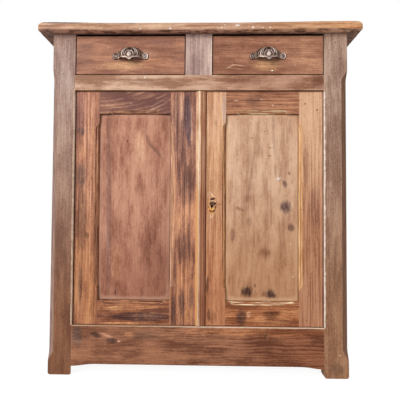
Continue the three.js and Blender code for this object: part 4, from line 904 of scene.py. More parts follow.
def astragal_bands(graph, shade, relief, place, parts):
    """Colours that run the length of the strip, one for each member of the moulding: yellow wood on
    the slope, a painted highlight on the crown, and painted shade in the quirk and on the bead.
    """
    across = graph.minus(parts["x"], strip_x)
    lower = graph.step(parts["z"], *YELLOW_PLACES)
    yellow = graph.times(graph.step(across, *SLOPE_END), lower, 0.8)
    shade = graph.paint(yellow, shade, (226, 166, 106))
    ragged = graph.noise(place, (26, 150, 150), 3, 0.6)
    ridge = graph.math("ABSOLUTE", graph.sway(ragged, 5 * MM, graph.minus(across, RIDGE)))
    # Painted highlight: a pale, ragged line along the crown, stronger on the upper half.
    pale = graph.times(graph.step(ridge, 2.2 * MM, 1.0 * MM), graph.line(lower, -0.3, 0.8))
    shade = graph.paint(pale, shade, (250, 226, 194))
    # Painted shade in the quirk.
    quirk_shade = graph.times(graph.step(across, *QUIRK), graph.step(across, *QUIRK_END), 0.7)
    shade = graph.paint(quirk_shade, shade, (158, 96, 62))
    # Painted shade on the bead, which faces away from the lamp.
    bead = graph.times(graph.step(across, *BEAD), 0.75)
    return graph.paint(bead, shade, (146, 84, 58)), relief


board(
    "left_door_astragal", "astragal_wood", "zxy", [(172, 120, 88), (222, 174, 138), (244, 206, 172)],
    gap=5, streak=5, wander=2, rings=-0.2, streaks=0.6, fade=(176, 120, 90), ends=(0.58, 0.5),
    arris=door_edge, extra=astragal_bands,
)
print("astragal dressed")

# %% [markdown]
# ## Sides, back and inside
#
# Nobody scrapes the back of a cupboard. The side boards match the front in a plainer way, the back
# is grey and dry, and the inside kept the colour of old unpainted pine.

# %% Woods that the photograph doesn't show
SIDE_TONES = [(118, 78, 60), (158, 112, 88), (192, 142, 112)]
POST_TONES = [(132, 98, 82), (160, 122, 102), (184, 148, 128)]
INNER_TONES = [(148, 112, 80), (186, 148, 110), (208, 174, 134)]
BACK_TONES = [(118, 97, 80), (148, 124, 103), (172, 148, 124)]
plain_edge = ((202, 164, 130), 0.35, 2, 0.5)


def plain(names, name, axes, tones, pith, gap=7, wander=10, rings=-0.35, holes=0.04):
    """One quiet pine for several boards. A star in a name stands for left and then right."""
    wood = pine(name, axes, tones, gap, 14, wander, pith, 0.05, arris=plain_edge, holes=holes,
                rings=rings, blotches=0.24, streaks=0.34)
    for starred in names:
        for side in (SIDES if "*" in starred else ("",)):
            dress(starred.replace("*", side), wood)


drawer_sides = [f"*_drawer_side_{side}" for side in SIDES]
back_boards = [f"back_board_{number}" for number in range(1, 5)]
inner_rails = ["back_top_rail", "rear_runner_rail", "back_bottom_rail", "door_stop", "*_drawer_back"]
inner_boards = ["cabinet_floor", "shelf", "*_drawer_bottom"]
runners = ["drawer_runner_middle", "drawer_runner_*", "shelf_cleat_*"]
side_rails = ["side_top_rail_*", "side_bottom_rail_*"]
plain(["side_panel_*"], "side_panel_wood", "zyx", SIDE_TONES, (0.5, 0.02, -0.3), 9, 14, -0.45)
plain(side_rails, "side_rail_wood", "yzx", SIDE_TONES, (0.0, 0.4, -0.2))
plain(["rear_post_*"], "rear_post_wood", "zxy", POST_TONES, (0.3, 0.1, 0.1))
plain(back_boards, "back_board_wood", "zxy", BACK_TONES, (0.5, 0.05, -0.2), 9, 16, -0.5, 0.12)
plain(inner_rails, "inner_rail_wood", "xzy", INNER_TONES, (0.0, 0.3, 0.1))
plain(inner_boards, "inner_board_wood", "xyz", INNER_TONES, (0.0, 0.05, 0.2), 9, 16)
plain(runners, "inner_runner_wood", "yzx", INNER_TONES, (0.0, 0.5, 0.1))
plain(drawer_sides, "drawer_side_wood", "yzx", INNER_TONES, (0.0, 0.86, 0.1))
print("sides, back and inside dressed")

# %% [markdown]
# ## Iron, brass and nickel
#
# The lock and the bolt are dull iron, the pulls are cast metal whose plating has gone from the high
# places. One group finds the high places by noise and by the worn edges, and each metal mixes its
# own two colours with it.

# %% Group: tarnish
tarnish_group, g, given, out = start_group(
    "tarnish", {"Place": None, "Coarse": 90.0, "Fine": 900.0}, ["Dull", "Pits"],
)
coarse = g.join(given["Coarse"], given["Coarse"], given["Coarse"])
fine = g.join(given["Fine"], given["Fine"], given["Fine"])
g.feed(out["Dull"], g.patches(given["Place"], coarse, 4, 0.6, 0.35, 0.65))
g.feed(out["Pits"], g.patches(given["Place"], fine, 3, 0.6, 0.4, 0.7))

# %% Metals
# The cast pulls' colours, by the value kept on each point: painted shade at the low end, rubbed metal with a
# painted highlight at the high end.
CAST_SHADE_AND_HIGHLIGHT_STEPS = [(0.0, (58, 40, 34)), (0.3, (104, 82, 72)), (0.62, (160, 140, 128)), (1.0, (226, 216, 208))]


def metal(name, bright, dull, rough, metallic, bump_mm, cast=False):
    """A worn metal: bright where it is rubbed, dull and rougher elsewhere. A casting takes its colour
    from the value kept on each point: painted shade in its recesses and its hollow, and rubbed metal
    with a painted highlight on its ribs."""
    material, graph, shader = start_material(name)
    place = graph.object_place()
    worn = graph.group(tarnish_group, Place=place)
    edges = graph.group(edge_group, Place=place, Radius=1.2 * MM, Broken=0.2)
    dullness = graph.times(worn["Dull"], graph.minus(1, edges["Arris"]))
    colour = graph.mix(dullness, linear(bright), linear(dull))
    roughness = graph.line(dullness, 0.25, rough)
    if cast:
        height = graph.add("Attribute", attribute_name="relief").outputs["Fac"]
        level = graph.sway(graph.noise(place, (260, 260, 260), 4), 0.5, height)
        colour = graph.ramp(level, CAST_SHADE_AND_HIGHLIGHT_STEPS)
        roughness = graph.line(level, -0.25, 0.6)
    graph.feed(shader["Base Color"], colour)
    graph.feed(shader["Roughness"], roughness)
    pitted = graph.line(worn["Pits"], 0.5, graph.times(worn["Dull"], 0.4))
    graph.feed(shader["Normal"], graph.bump(pitted, 0.5, bump_mm * MM))
    shader["Metallic"].default_value = metallic
    return material


cast_metal = metal("cast_nickel", (168, 152, 142), (120, 100, 88), 0.34, 0.85, 0.25, cast=True)
iron_metal = metal("ironwork", (120, 112, 106), (66, 52, 44), 0.45, 0.75, 0.3)
brass_metal = metal("lock_brass", (196, 164, 104), (122, 94, 58), 0.32, 0.9, 0.15)
screw_metal = metal("screw_iron", (140, 124, 112), (70, 56, 48), 0.4, 0.85, 0.2)

pivots = [f"{side}_door_{end}_pivot" for side in SIDES for end in ("top", "bottom")]
for node in ("slide_bolt_case", "slide_bolt", "lock_case", *pivots):
    dress(node, iron_metal)
dress("lock_bolt", brass_metal)
print("metals made")

# %% [markdown]
# ## Helpers for new meshes
#
# New pieces are built from points and faces. One helper joins a grid of points with four-sided
# faces. The other makes the object, gives it its finish, and lets it ride on the body that carries
# it, so that it moves with its drawer or door.

# %% Add a piece


def grid_faces(lines, length, around=False, closed=False):
    """Faces between neighbours in a grid of points, listed line after line. around joins the last
    line to the first, closed joins each line's end to its start."""
    faces = []
    for line in range(lines if around else lines - 1):
        here, after = line * length, (line + 1) % lines * length
        for place in range(length if closed else length - 1):
            beside = (place + 1) % length
            faces.append((here + place, here + beside, after + beside, after + place))
    return faces


def add_piece(name, points, faces, material, body, slot, split=None):
    """A new piece. split is the angle, in degrees, from which an edge is shaded as sharp."""
    mesh = bpy.data.meshes.new(name)
    mesh.from_pydata(points, [], faces)
    mesh.validate()
    mesh.update()
    piece = bpy.data.objects.new(name, mesh)
    bpy.context.scene.collection.objects.link(piece)
    shell = bmesh.new()
    shell.from_mesh(mesh)
    bmesh.ops.recalc_face_normals(shell, faces=shell.faces)
    shell.to_mesh(mesh)
    shell.free()
    for face in mesh.polygons:
        face.use_smooth = True
    mesh.materials.append(material)
    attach(piece, body)
    if split:
        piece.modifiers.new("edges", "EDGE_SPLIT").split_angle = math.radians(split)
    return piece


def ease(share):
    """A share held between 0 and 1, with a soft start and end."""
    share = max(0.0, min(1.0, share))
    return share * share * (3 - 2 * share)


# %% [markdown]
# ## The door panels
#
# A fielded panel is thin at its edges, where it slips into the frame, and swells towards the
# middle. These were planed by hand, so the slope is soft, and the field's corners are round.
# The face is a grid whose depth follows the distance to a rounded rectangle.

# %% Panels
PANEL_TONGUE = 8 * MM
PANEL_MARGIN = 20 * MM
PANEL_RISE = 2.3 * MM
PANEL_THICKNESS = 7 * MM
PANEL_SINK = 0.15 * MM
PLANE_MARK = 0.12 * MM
PLANE_WIDTH = 31 * MM
PLANE_LENGTH = 190 * MM
PANEL_COLUMNS = 56
PANEL_ROWS = 120
PANEL_LOW_CORNER = 46 * MM
PANEL_HIGH_CORNER = 24 * MM
CORNER_NARROW = 0.6


def panel_field(x, z, low, high):
    """How far the field stands up at a place on the panel, from 0 at its edge to 1 on the field."""
    from_side = min(x - low.x, high.x - x) - PANEL_TONGUE
    from_low = z - low.z - PANEL_TONGUE
    from_high = high.z - PANEL_TONGUE - z
    from_end = min(from_low, from_high)
    corner = PANEL_LOW_CORNER if from_low < from_high else PANEL_HIGH_CORNER
    corner_x = corner * CORNER_NARROW
    distance = min(from_side, from_end)
    if from_side < corner_x and from_end < corner:
        gone = math.hypot(1 - max(from_side, 0) / corner_x, 1 - max(from_end, 0) / corner)
        distance = min(distance, (1 - gone) * corner_x + 4 * MM)
    return ease(distance / PANEL_MARGIN)


def make_panel(side, material):
    low, high = corners(f"{side}_door_panel")
    points = []
    for row in range(PANEL_ROWS + 1):
        z = low.z + (high.z - low.z) * row / PANEL_ROWS
        for column in range(PANEL_COLUMNS + 1):
            x = low.x + (high.x - low.x) * column / PANEL_COLUMNS
            planed = PLANE_MARK * math.sin(x / PLANE_WIDTH) * math.sin(z / PLANE_LENGTH + 1)
            rise = (PANEL_RISE + planed) * panel_field(x, z, low, high)
            points.append((x, high.y - PANEL_THICKNESS + PANEL_SINK - rise, z))
    width = PANEL_COLUMNS + 1
    faces = grid_faces(PANEL_ROWS + 1, width)
    back = len(points)
    for x, z in ((low.x, low.z), (high.x, low.z), (high.x, high.z), (low.x, high.z)):
        points.append((x, high.y, z))
    faces.append((back, back + 1, back + 2, back + 3))
    faces.append((*range(width), back + 1, back))
    faces.append((*range(back - 1, back - width - 1, -1), back + 3, back + 2))
    faces.append((*range(back - width, -1, -width), back, back + 3))
    faces.append((*range(width - 1, back, width), back + 2, back + 1))
    slot = f"{side}_panel_wood"
    panel = add_piece(f"{side}_panel_board", points, faces, material, f"{side}_door", slot, 40)
    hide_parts(f"{side}_door_panel")
    print("panel:", side, len(faces), "faces")


def panel_border(side, pale, strength):
    """Paler wood on the slope round the field, and painted shade where the panel meets the frame."""
    low, high = corners(f"{side}_door_panel")

    def gap_to(graph, value, first, last):
        """How far a place lies inside the tongues at both ends of one direction."""
        off = graph.math("ABSOLUTE", graph.minus(value, (first + last) / 2))
        return graph.minus((last - first) / 2 - PANEL_TONGUE, off)

    def paint(graph, shade, relief, place, parts):
        gap_x = gap_to(graph, parts["x"], low.x, high.x)
        gap_z = gap_to(graph, parts["z"], low.z, high.z)
        wave = graph.noise(place, (26, 60, 60), 3)
        gap = graph.sway(wave, 9 * MM, graph.math("SMOOTH_MIN", gap_x, gap_z, 22 * MM))
        low_down = graph.step(parts["z"], low.z + 70 * MM, low.z + 20 * MM)
        slope = graph.times(graph.step(gap, 16 * MM, 6 * MM), graph.line(low_down, strength, strength))
        shade = graph.paint(slope, shade, pale)
        # Painted shade: a dark line where the panel goes into the frame.
        near = graph.step(graph.math("MINIMUM", gap_x, gap_z), 3.2 * MM, 0.6 * MM)
        return graph.paint(graph.times(near, 0.75), shade, (70, 42, 30)), relief
    return paint


left_panel_wood = pine(
    "left_panel_wood", "zxy", [(136, 83, 63), (184, 128, 104), (212, 158, 130)], gap=14, streak=17,
    wander=18, pith=(0.5, -0.2, 0.16), rings=-0.1, streaks=0.22, blotches=0.45, fibres=0.26,
    scuffs=0.2, fade=(160, 104, 82), ends=(0.5, 0.24),
    extra=panel_border("left", (198, 152, 126), 0.3),
    marks=[
        mark(-174, 668, 14, 56, (212, 160, 128), 0.5, soft=0.6),
        mark(-150, 692, 5, 26, (120, 82, 66), 0.5, soft=0.7, turn=25),
        mark(-126, 660, 5, 26, (112, 76, 62), soft=0.7, turn=40),
        mark(-214, 691, 2.6, 4, (96, 52, 40), 0.8),
        mark(-245, 324, 13, 48, (214, 158, 122), 0.8, soft=0.4),
        mark(-112, 330, 46, 100, (134, 84, 66), 0.5, soft=0.8),
        mark(-120, 560, 18, 100, (156, 104, 82), 0.4, soft=0.8),
        mark(-245, 238, 1.3, 8, BLACKENED, 0.9, fray=0.1),
        mark(-269, 560, 7, 210, (150, 114, 104), 0.5, soft=0.7),
        mark(-266, 330, 6, 110, (150, 114, 104), 0.5, soft=0.7),
    ],
)
right_panel_wood = pine(
    "right_panel_wood", "zxy", [(174, 128, 100), (211, 169, 138), (230, 192, 162)], gap=11, streak=12,
    wander=16, pith=(0.4, 0.3, 0.12), rings=-0.1, streaks=0.22, blotches=0.45, fibres=0.24, scuffs=0.2,
    fade=(184, 134, 98), ends=(0.6, 0.28),
    extra=panel_border("right", (216, 172, 134), 0.35),
    marks=[
        mark(258, 563, 6, 11, (96, 68, 56), 0.75, turn=10), mark(271, 596, 4, 5, (150, 100, 72), 0.7),
        mark(230, 603, 5, 20, (158, 114, 90), 0.5),
        mark(260, 496, 15, 16, (104, 76, 70), 0.95, fray=0.8, soft=0.6),
        mark(276, 434, 10, 10, (110, 76, 66), 0.85, fray=0.8, soft=0.6),
        mark(202, 360, 16, 18, (146, 94, 66), 0.7, fray=0.9, soft=0.7),
        mark(103, 412, 8, 20, (132, 92, 72), 0.65), mark(152, 452, 8, 14, (148, 106, 84), 0.5),
        mark(146, 519, 12, 10, (160, 116, 90), 0.5, turn=30),
        mark(125, 489, 12, 5, (146, 100, 76), turn=-20),
        mark(148, 244, 17, 15, (84, 58, 52), 0.95, fray=0.9, soft=0.5),
        mark(170, 262, 4, 6, (96, 66, 50)),
        mark(219, 236, 16, 12, (90, 66, 60), 0.95, fray=0.8, soft=0.5, turn=-20),
        mark(196, 238, 5, 8, (116, 78, 56)), mark(124, 772, 3, 7, FLECK),
        mark(207, 769, 2.4, 6, FLECK, 0.8), mark(222, 752, 6, 22, (158, 118, 98), 0.5),
        mark(226, 690, 5, 60, (160, 118, 94), 0.4, turn=6),
        mark(197, 721, 2, 2, BLACKENED, 0.8, fray=0.1),
        mark(160, 701, 3, 1.6, (96, 66, 50), 0.8, turn=-35),
        mark(213, 672, 4, 1.8, (116, 78, 60), 0.8), mark(212, 648, 5, 2.4, (120, 82, 62), 0.7),
        mark(240, 580, 6, 3, PAINT_WHITE, 0.9, turn=25), mark(282, 290, 2, 3, PAINT_WHITE, 0.8),
        mark(276, 386, 3, 2, PAINT_WHITE), mark(165, 640, 5, 110, (172, 128, 102), 0.45, turn=-8),
    ],
)
make_panel("left", left_panel_wood)
make_panel("right", right_panel_wood)

# %% [markdown]
# ## The top
#
# The top's edge is what the eye meets first: a wide round above, a small one below, dented all
# along and chipped on its lower arris. Rings of points are laid at each height of the profile,
# pushed in and out by a few slow waves, so no stretch of the edge is quite straight.

# %% Top board
TOP_CORNER = 7 * MM
TOP_STEP = 4 * MM
TOP_DENT = 0.7 * MM
TOP_CHIP = 2.0 * MM
CHIP_HEIGHT = 7 * MM
UPPER_ROUND = (30 * MM, 12 * MM, 14 * MM)
LOWER_ROUND = 4 * MM
UNDER_REACH = 26 * MM
UPPER_REACH = 90 * MM
UPPER_WEAR = 3.3 * MM
LOWER_SAG = (1.6 * MM, -1.2 * MM)
ROUND_STEPS = 6
CORNER_STEPS = 5
BACK_STEPS = 12


def top_ring(end_inset, front_inset):
    """Points round the top at one inset from its edges, and their outward ways. The back stays square."""
    left, right = top_low.x + end_inset, top_high.x - end_inset
    front, back = top_low.y + front_inset, top_high.y
    corner = max(1.5 * MM, TOP_CORNER - front_inset / 2)
    side_steps = round((top_high.y - top_low.y) / TOP_STEP)
    front_steps = round((top_high.x - top_low.x) / TOP_STEP)
    ring = []

    def line(first, second, way, steps):
        for i in range(steps):
            share = i / steps
            ring.append(([a + (b - a) * share for a, b in zip(first, second)], way))

    def arc(x, y, start):
        for i in range(CORNER_STEPS):
            angle = start + math.pi / 2 * i / CORNER_STEPS
            way = (math.cos(angle), math.sin(angle))
            ring.append(([x + corner * way[0], y + corner * way[1]], way))

    line((left, back), (left, front + corner), (-1, 0), side_steps)
    arc(left + corner, front + corner, math.pi)
    line((left + corner, front), (right - corner, front), (0, -1), front_steps)
    arc(right - corner, front + corner, 1.5 * math.pi)
    line((right, front + corner), (right, back), (1, 0), side_steps)
    line((right, back), (left, back), (0, 1), BACK_STEPS)
    return ring


def dent(run, phase):
    """A slow unevenness along the edge, from 0 to 1."""
    slow = math.sin(run * 23 + phase)
    waves = slow + 0.6 * math.sin(run * 61 + 2 * phase) + 0.4 * math.sin(run * 137 + phase)
    return 0.5 + waves / 4


def chip(run):
    """Short bites out of the lower arris, from 0 to 1."""
    bites = math.sin(run * 211) + 0.7 * math.sin(run * 97 + 2) + 0.5 * math.sin(run * 389 + 1)
    return max(0.0, bites - 0.9)


def middle_share(x):
    """How far a place lies into the long middle of the front edge, where most hands have rubbed it."""
    return ease(min((x + 0.45) / 0.21, (0.4 - x) / 0.3))


def make_top(material):
    thickness = top_high.z - top_low.z
    end_round, front_round, round_height = UPPER_ROUND
    quarter = [math.pi / 2 * i / ROUND_STEPS for i in range(ROUND_STEPS + 1)]
    profile = [(UNDER_REACH, UNDER_REACH, 0.0)]
    for t in quarter:
        inset = LOWER_ROUND * (1 - math.sin(t))
        profile.append((inset, inset, LOWER_ROUND * (1 - math.cos(t))))
    for t in quarter:
        gone = 1 - math.cos(t)
        profile.append((end_round * gone, front_round * gone, thickness - round_height * (1 - math.sin(t))))
    profile.append((UPPER_REACH, UPPER_REACH, thickness))
    rings = [top_ring(end_inset, front_inset) for end_inset, front_inset, height in profile]
    count, rows = len(rings[0]), len(profile)
    points = []
    for index in range(count):
        run = index * TOP_STEP
        for level, ring in enumerate(rings):
            (x, y), way = ring[index]
            height = profile[level][2]
            inner = level in (0, rows - 1)
            chipped = TOP_CHIP * chip(run) * max(0.0, 1 - height / CHIP_HEIGHT)
            inward = 0.0 if way[1] > 0.5 or inner else TOP_DENT * dent(run, level / 4) + chipped
            lift = 0.0
            if not inner:
                forward = max(0.0, -way[1])
                worn = middle_share(x) * forward
                upward = height / thickness
                sag = LOWER_SAG[0] + (LOWER_SAG[1] - LOWER_SAG[0]) * worn
                lift = (1 - upward) * sag * forward
                lift -= upward * (UPPER_WEAR * worn + 0.4 * TOP_DENT * dent(run * 1.4, 5))
            points.append((x - way[0] * inward, y - way[1] * inward, top_low.z + height + lift))
    faces = grid_faces(count, rows, around=True)
    faces.append(tuple(index * rows for index in range(count)))
    faces.append(tuple(index * rows + rows - 1 for index in reversed(range(count))))
    top = add_piece("worn_top_board", points, faces, material, "carcass", "top_wood", 50)
    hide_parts("top_board")
    print("top:", len(faces), "faces")


def top_wear_and_shade(graph, shade, relief, place, parts):
    """A torn and grimy underside with painted shade that deepens back from its front edge, a painted
    black shadow over the drawers, and seams between the boards above.
    """
    up = graph.split(graph.add("TexCoord").outputs["Normal"])[2]
    below = graph.step(up, -0.5, -0.9)
    above = graph.step(up, 0.93, 0.99)
    torn = graph.patches(place, (26, 10, 44), 4, 0.65, 0.4, 0.56)
    rightward = graph.step(parts["x"], -0.1, 0.35)
    dark = graph.paint(rightward, linear((110, 76, 64)), (112, 78, 60))
    light = graph.paint(rightward, linear((206, 158, 136)), (232, 188, 156))
    # Painted shade: the underside grows darker further back under the top.
    deeper = graph.step(parts["y"], FRONT_Y - 14 * MM, FRONT_Y)
    grime_and_shade = graph.paint(graph.times(deeper, 0.7), graph.mix(torn, dark, light), (92, 62, 54))
    shade = graph.mix(graph.times(below, 0.92), shade, grime_and_shade)
    # Painted shadow: black on the underside behind the front, between the posts, where the gap over the
    # drawers shows it.
    behind = graph.step(parts["y"], FRONT_Y, FRONT_Y + 4 * MM)
    from_middle = graph.math("ABSOLUTE", parts["x"])
    between = graph.step(from_middle, RIGHT_INNER_X + 3 * MM, RIGHT_INNER_X)
    shade = graph.paint(graph.times(below, behind, between), shade, (26, 22, 26))
    shade = graph.paint(graph.times(above, 0.55), shade, (150, 116, 92))
    for seam_y in TOP_SEAMS:
        off = graph.math("ABSOLUTE", graph.minus(parts["y"], seam_y))
        seam = graph.times(graph.step(off, 1.2 * MM, 0.4 * MM), above)
        shade = graph.paint(graph.times(seam, 0.8), shade, (66, 46, 36))
        relief = graph.minus(relief, graph.times(seam, 1.5))
    return shade, relief


TOP_SEAMS = [top_low.y + share * (top_high.y - top_low.y) for share in (0.31, 0.64)]
EDGE_DEEP = top_low.y + 14 * MM
SOOT = (46, 46, 54)


def edge_mark(x, z, half_x, half_z, shade, share=0.9, fray=0.3):
    return mark(x, z, half_x, half_z, shade, share, fray, deep=EDGE_DEEP)


top_wood = pine(
    "top_wood", "xzy", [(166, 120, 93), (197, 153, 123), (220, 182, 152)], gap=7, streak=6, wander=10,
    pith=(0.1, 0.93, -0.05), dip=0.03, rings=-0.3, streaks=0.65, fade=(204, 150, 108),
    ends=(0.1, 0.42), holes=0.06, extra=top_wear_and_shade,
    marks=[
        edge_mark(-396, 1035, 62, 5.4, SOOT, 1.0), edge_mark(-287, 1034, 14, 4.4, SOOT, 1.0),
        edge_mark(-206, 1032.5, 26, 4.4, SOOT, 1.0), edge_mark(-330, 1034.5, 30, 3.8, SOOT, 0.9),
        edge_mark(-84, 1032.5, 16, 1.8, SOOT, 0.6), edge_mark(60, 1032.5, 40, 1.8, GREY_BROWN, 0.5),
        edge_mark(-440, 1018, 30, 6, (176, 138, 118), 0.5, 0.6),
        edge_mark(-300, 1024, 70, 2.2, (160, 112, 84), 0.5, 0.8),
        edge_mark(20, 1023, 90, 2.0, (158, 110, 82), 0.6, 0.9),
        edge_mark(330, 1025, 90, 2.0, (150, 102, 76), 0.6, 0.9),
        edge_mark(250, 1015, 60, 2.0, (226, 176, 132), 0.5, 0.9),
        edge_mark(440, 1014, 30, 5, (206, 138, 94), 0.6, 0.5),
        edge_mark(-171, 1012, 3, 1.8, PAINT_WHITE), edge_mark(-83, 1013, 3.4, 3, PAINT_WHITE),
        edge_mark(112, 1021, 7.5, 3, PAINT_WHITE, 0.95), edge_mark(157, 1015, 2, 3.4, PAINT_WHITE),
        edge_mark(186, 1014, 3, 1.6, PAINT_WHITE), edge_mark(206, 1015, 3, 1.8, PAINT_WHITE),
        edge_mark(66, 1014, 2, 2.4, PAINT_WHITE, 0.7), edge_mark(76, 1022, 3, 1.4, PAINT_WHITE, 0.6),
    ],
)
make_top(top_wood)

# %% [markdown]
# ## The cup pulls
#
# A cup pull is a full, flattened quarter of an egg, cast thin, with a rim that hangs down in a lobe.
# A leaf stands in a band drawn up to a point, and ribs fan out to each side of it. The ornament is
# a height over the plain shell, so one formula gives every bump. The same height is kept on each
# point, and the metal's colour follows it: painted shade where it is low and inside the hood, and
# bright on the ribs, where hands have rubbed it, with a painted highlight. The ears keep a painted
# brightness instead of a height.

# %% Shape of a pull
HOOD_HALF = 35 * MM
HOOD_DEPTH = 22 * MM
HOOD_RISE = 35.4 * MM
HOOD_FULLNESS = 0.76
RIM_Z = -12.8 * MM
RIM_BEAD = 2.2 * MM
RIM_BEAD_SHARE = 0.7
RIM_BEAD_ROWS = 3.2
HOOD_WALL = 2 * MM
LOBE_DROP = 8.3 * MM
LOBE_HALF = 12 * MM
SCALLOP = 2.4 * MM
HOOD_COLUMNS = 150
HOOD_ROWS = 60
RELIEF_HEIGHT = 2.3 * MM
LEAF_Z = -5.0 * MM
LEAF_HALF = (7.6 * MM, 9.6 * MM)
VEIN_X = 2 * MM
VEIN_WIDTH = 0.8 * MM
RING_HALF = (12.6 * MM, 12.4 * MM)
RING_WIDTH = 1.5 * MM
BAND_HALF = 12.6 * MM
BAND_TIP = 29 * MM
BAND_FOOT = 14.5 * MM
BAND_OPENING = 0.12
SCROLL_PLACE = (24 * MM, -8.5 * MM)
SCROLL_RADIUS = 3.4 * MM
SCROLL_WIDTH = 1.3 * MM
BEADS_RISE = 27 * MM
BEADS_WIDTH = 2.4 * MM
BEAD_PITCH = 0.8 * MM
EAR_X = 44.8 * MM
EAR_Z = -4 * MM
EAR_HALF = (9.5 * MM, 10.5 * MM)
EAR_THICK = 4 * MM
EARS_BELOW_TOP = 24 * MM


def bump_at(distance, width):
    return math.exp(-((distance / width) ** 2))


def band_half(rise, spread):
    """Half the width between a rib and its twin, at a height over the leaf's middle."""
    if rise < 0:
        return BAND_HALF * spread * (1 + BAND_OPENING * rise / (BAND_FOOT * spread))
    up = min(1.0, rise / BAND_TIP)
    return BAND_HALF * spread * (1 - up) ** 0.8 * (1 + 0.9 * up)


def rib(x, rise, spread, width):
    """A rib's height share at a place, across its own slanting line. width is in millimetres."""
    step = 0.2 * MM
    slope = (band_half(rise + step, spread) - band_half(rise - step, spread)) / (2 * step)
    return bump_at((abs(x) - band_half(rise, spread)) / math.hypot(1, slope), width * MM)


def hood_relief(x, z):
    """Height of the casting's ornament over the shell, as a share of the highest."""
    rise = z - LEAF_Z
    point = max(0.0, 1 - abs(rise / LEAF_HALF[1]) ** 1.7)
    half = LEAF_HALF[0] * point ** 0.7 + 0.01 * MM
    inside = max(0.0, 1 - (abs(x) / half) ** 2)
    vein = 0.5 * bump_at(abs(x) - VEIN_X, VEIN_WIDTH)
    leaf = inside ** 0.4 * (1 - vein)
    round_way = math.hypot(x / RING_HALF[0], rise / RING_HALF[1])
    ring = 0.8 * bump_at((round_way - 1) * RING_HALF[1], RING_WIDTH)
    outside = min(1.0, max(0.0, (round_way - 0.9) * 8))
    faded = outside * min(1.0, max(0.0, 0.3 + rise / (9 * MM)))
    ribs = [0.7 * rib(x, rise, 0.7, 1.1) * outside, 0.95 * rib(x, rise, 1.42, 1.2) * faded,
            0.95 * rib(x, rise, 1.9, 2.1), 0.8 * rib(x, rise, 2.42, 1.3)]
    curl = math.hypot(abs(x) - SCROLL_PLACE[0], z - SCROLL_PLACE[1])
    scroll = bump_at(curl - SCROLL_RADIUS, SCROLL_WIDTH)
    row = bump_at(rise - BEADS_RISE, BEADS_WIDTH)
    beads = 0.5 * row * (0.5 + 0.5 * math.sin(x / BEAD_PITCH))
    return max(leaf, ring, *ribs, scroll, beads)


def rim_drop(x):
    """How far the rim hangs below its own level: a lobe in the middle, scallops beside it."""
    lobe = LOBE_DROP * bump_at(x, LOBE_HALF)
    return lobe - SCALLOP * math.sin(2 * math.pi * x / HOOD_HALF) ** 2


def hood_skin(inset, ornate):
    """Points of one skin of the hood, with the ornament's height share at each."""
    a, b, c = HOOD_HALF - inset, HOOD_DEPTH - inset, HOOD_RISE - inset
    points = [(0.0, 0.0, RIM_Z + c, 0.2)]
    for row in range(1, HOOD_ROWS + 1):
        down = row / HOOD_ROWS
        beta = down * math.pi / 2
        bead = RIM_BEAD_SHARE * bump_at((1 - down) * HOOD_ROWS, RIM_BEAD_ROWS)
        swelling = RELIEF_HEIGHT if bead < RIM_BEAD_SHARE / 2 else RIM_BEAD
        for column in range(HOOD_COLUMNS + 1):
            alpha = column / HOOD_COLUMNS * math.pi
            bulge = math.sin(alpha)
            x = -a * math.cos(alpha) * math.sin(beta) ** HOOD_FULLNESS
            z = RIM_Z + c * max(0.0, math.cos(beta)) ** HOOD_FULLNESS - rim_drop(x) * bulge * down ** 4
            height = max(hood_relief(x, z) * (1 - down ** 12), bead) if ornate else 0.0
            points.append((x, -bulge * (b * math.sin(beta) + height * swelling), z, height))
    return points


def hood_mesh():
    """The hood as points and faces: an outer and an inner skin, joined at the rim and the wall."""
    outer = hood_skin(0.0, True)
    # The inner skin keeps 0, the darkest colour: painted shade inside the hood.
    inner = hood_skin(HOOD_WALL, False)

    def at(skin, row, column):
        """A point's number. The first point of each skin stands for the whole of row 0."""
        return skin * len(outer) + (1 + (row - 1) * (HOOD_COLUMNS + 1) + column if row else 0)

    faces = []
    for row in range(HOOD_ROWS):
        for skin in (0, 1):
            for column in range(HOOD_COLUMNS):
                around = [at(skin, row, column), at(skin, row, column + 1),
                          at(skin, row + 1, column + 1), at(skin, row + 1, column)]
                faces.append(tuple(dict.fromkeys(around)))
        for column in (0, HOOD_COLUMNS):
            around = [at(0, row, column), at(0, row + 1, column), at(1, row + 1, column), at(1, row, column)]
            faces.append(tuple(dict.fromkeys(around)))
    for column in range(HOOD_COLUMNS):
        faces.append((at(0, HOOD_ROWS, column), at(0, HOOD_ROWS, column + 1),
                      at(1, HOOD_ROWS, column + 1), at(1, HOOD_ROWS, column)))
    return outer + inner, faces


# %% [markdown]
# An ear is a shallow dish round its screw: a lathe profile, squeezed to an oval. The flange is a
# thin band that follows the hood where it meets the drawer front.

# %% Ears and flange of a pull
# Each step of an ear is its share of the radius, its share of the thickness and its painted
# brightness: dark in the dish and at the outer edge, lightest on the raised rim.
EAR_PROFILE = [(0.0, 0.5, 0.1), (0.42, 0.5, 0.1), (0.5, 0.62, 0.2), (0.56, 0.9, 0.7), (0.66, 1.0, 0.85),
               (0.8, 0.98, 0.8), (0.93, 0.72, 0.45), (1.0, 0.35, 0.2), (1.0, 0.0, 0.1)]
EAR_STEPS = 40
FLANGE_OUT = 2.6 * MM
FLANGE_THICK = 2 * MM
FLANGE_STEPS = 64
BRIDGE_LOW = -9 * MM
SCREW_RINGS = 6
SCREW_STEPS = 32
# The head's radius and dome, and the slot's width and depth.
PULL_SCREW = (4 * MM, 1.3 * MM, 1.0 * MM, 0.8 * MM)


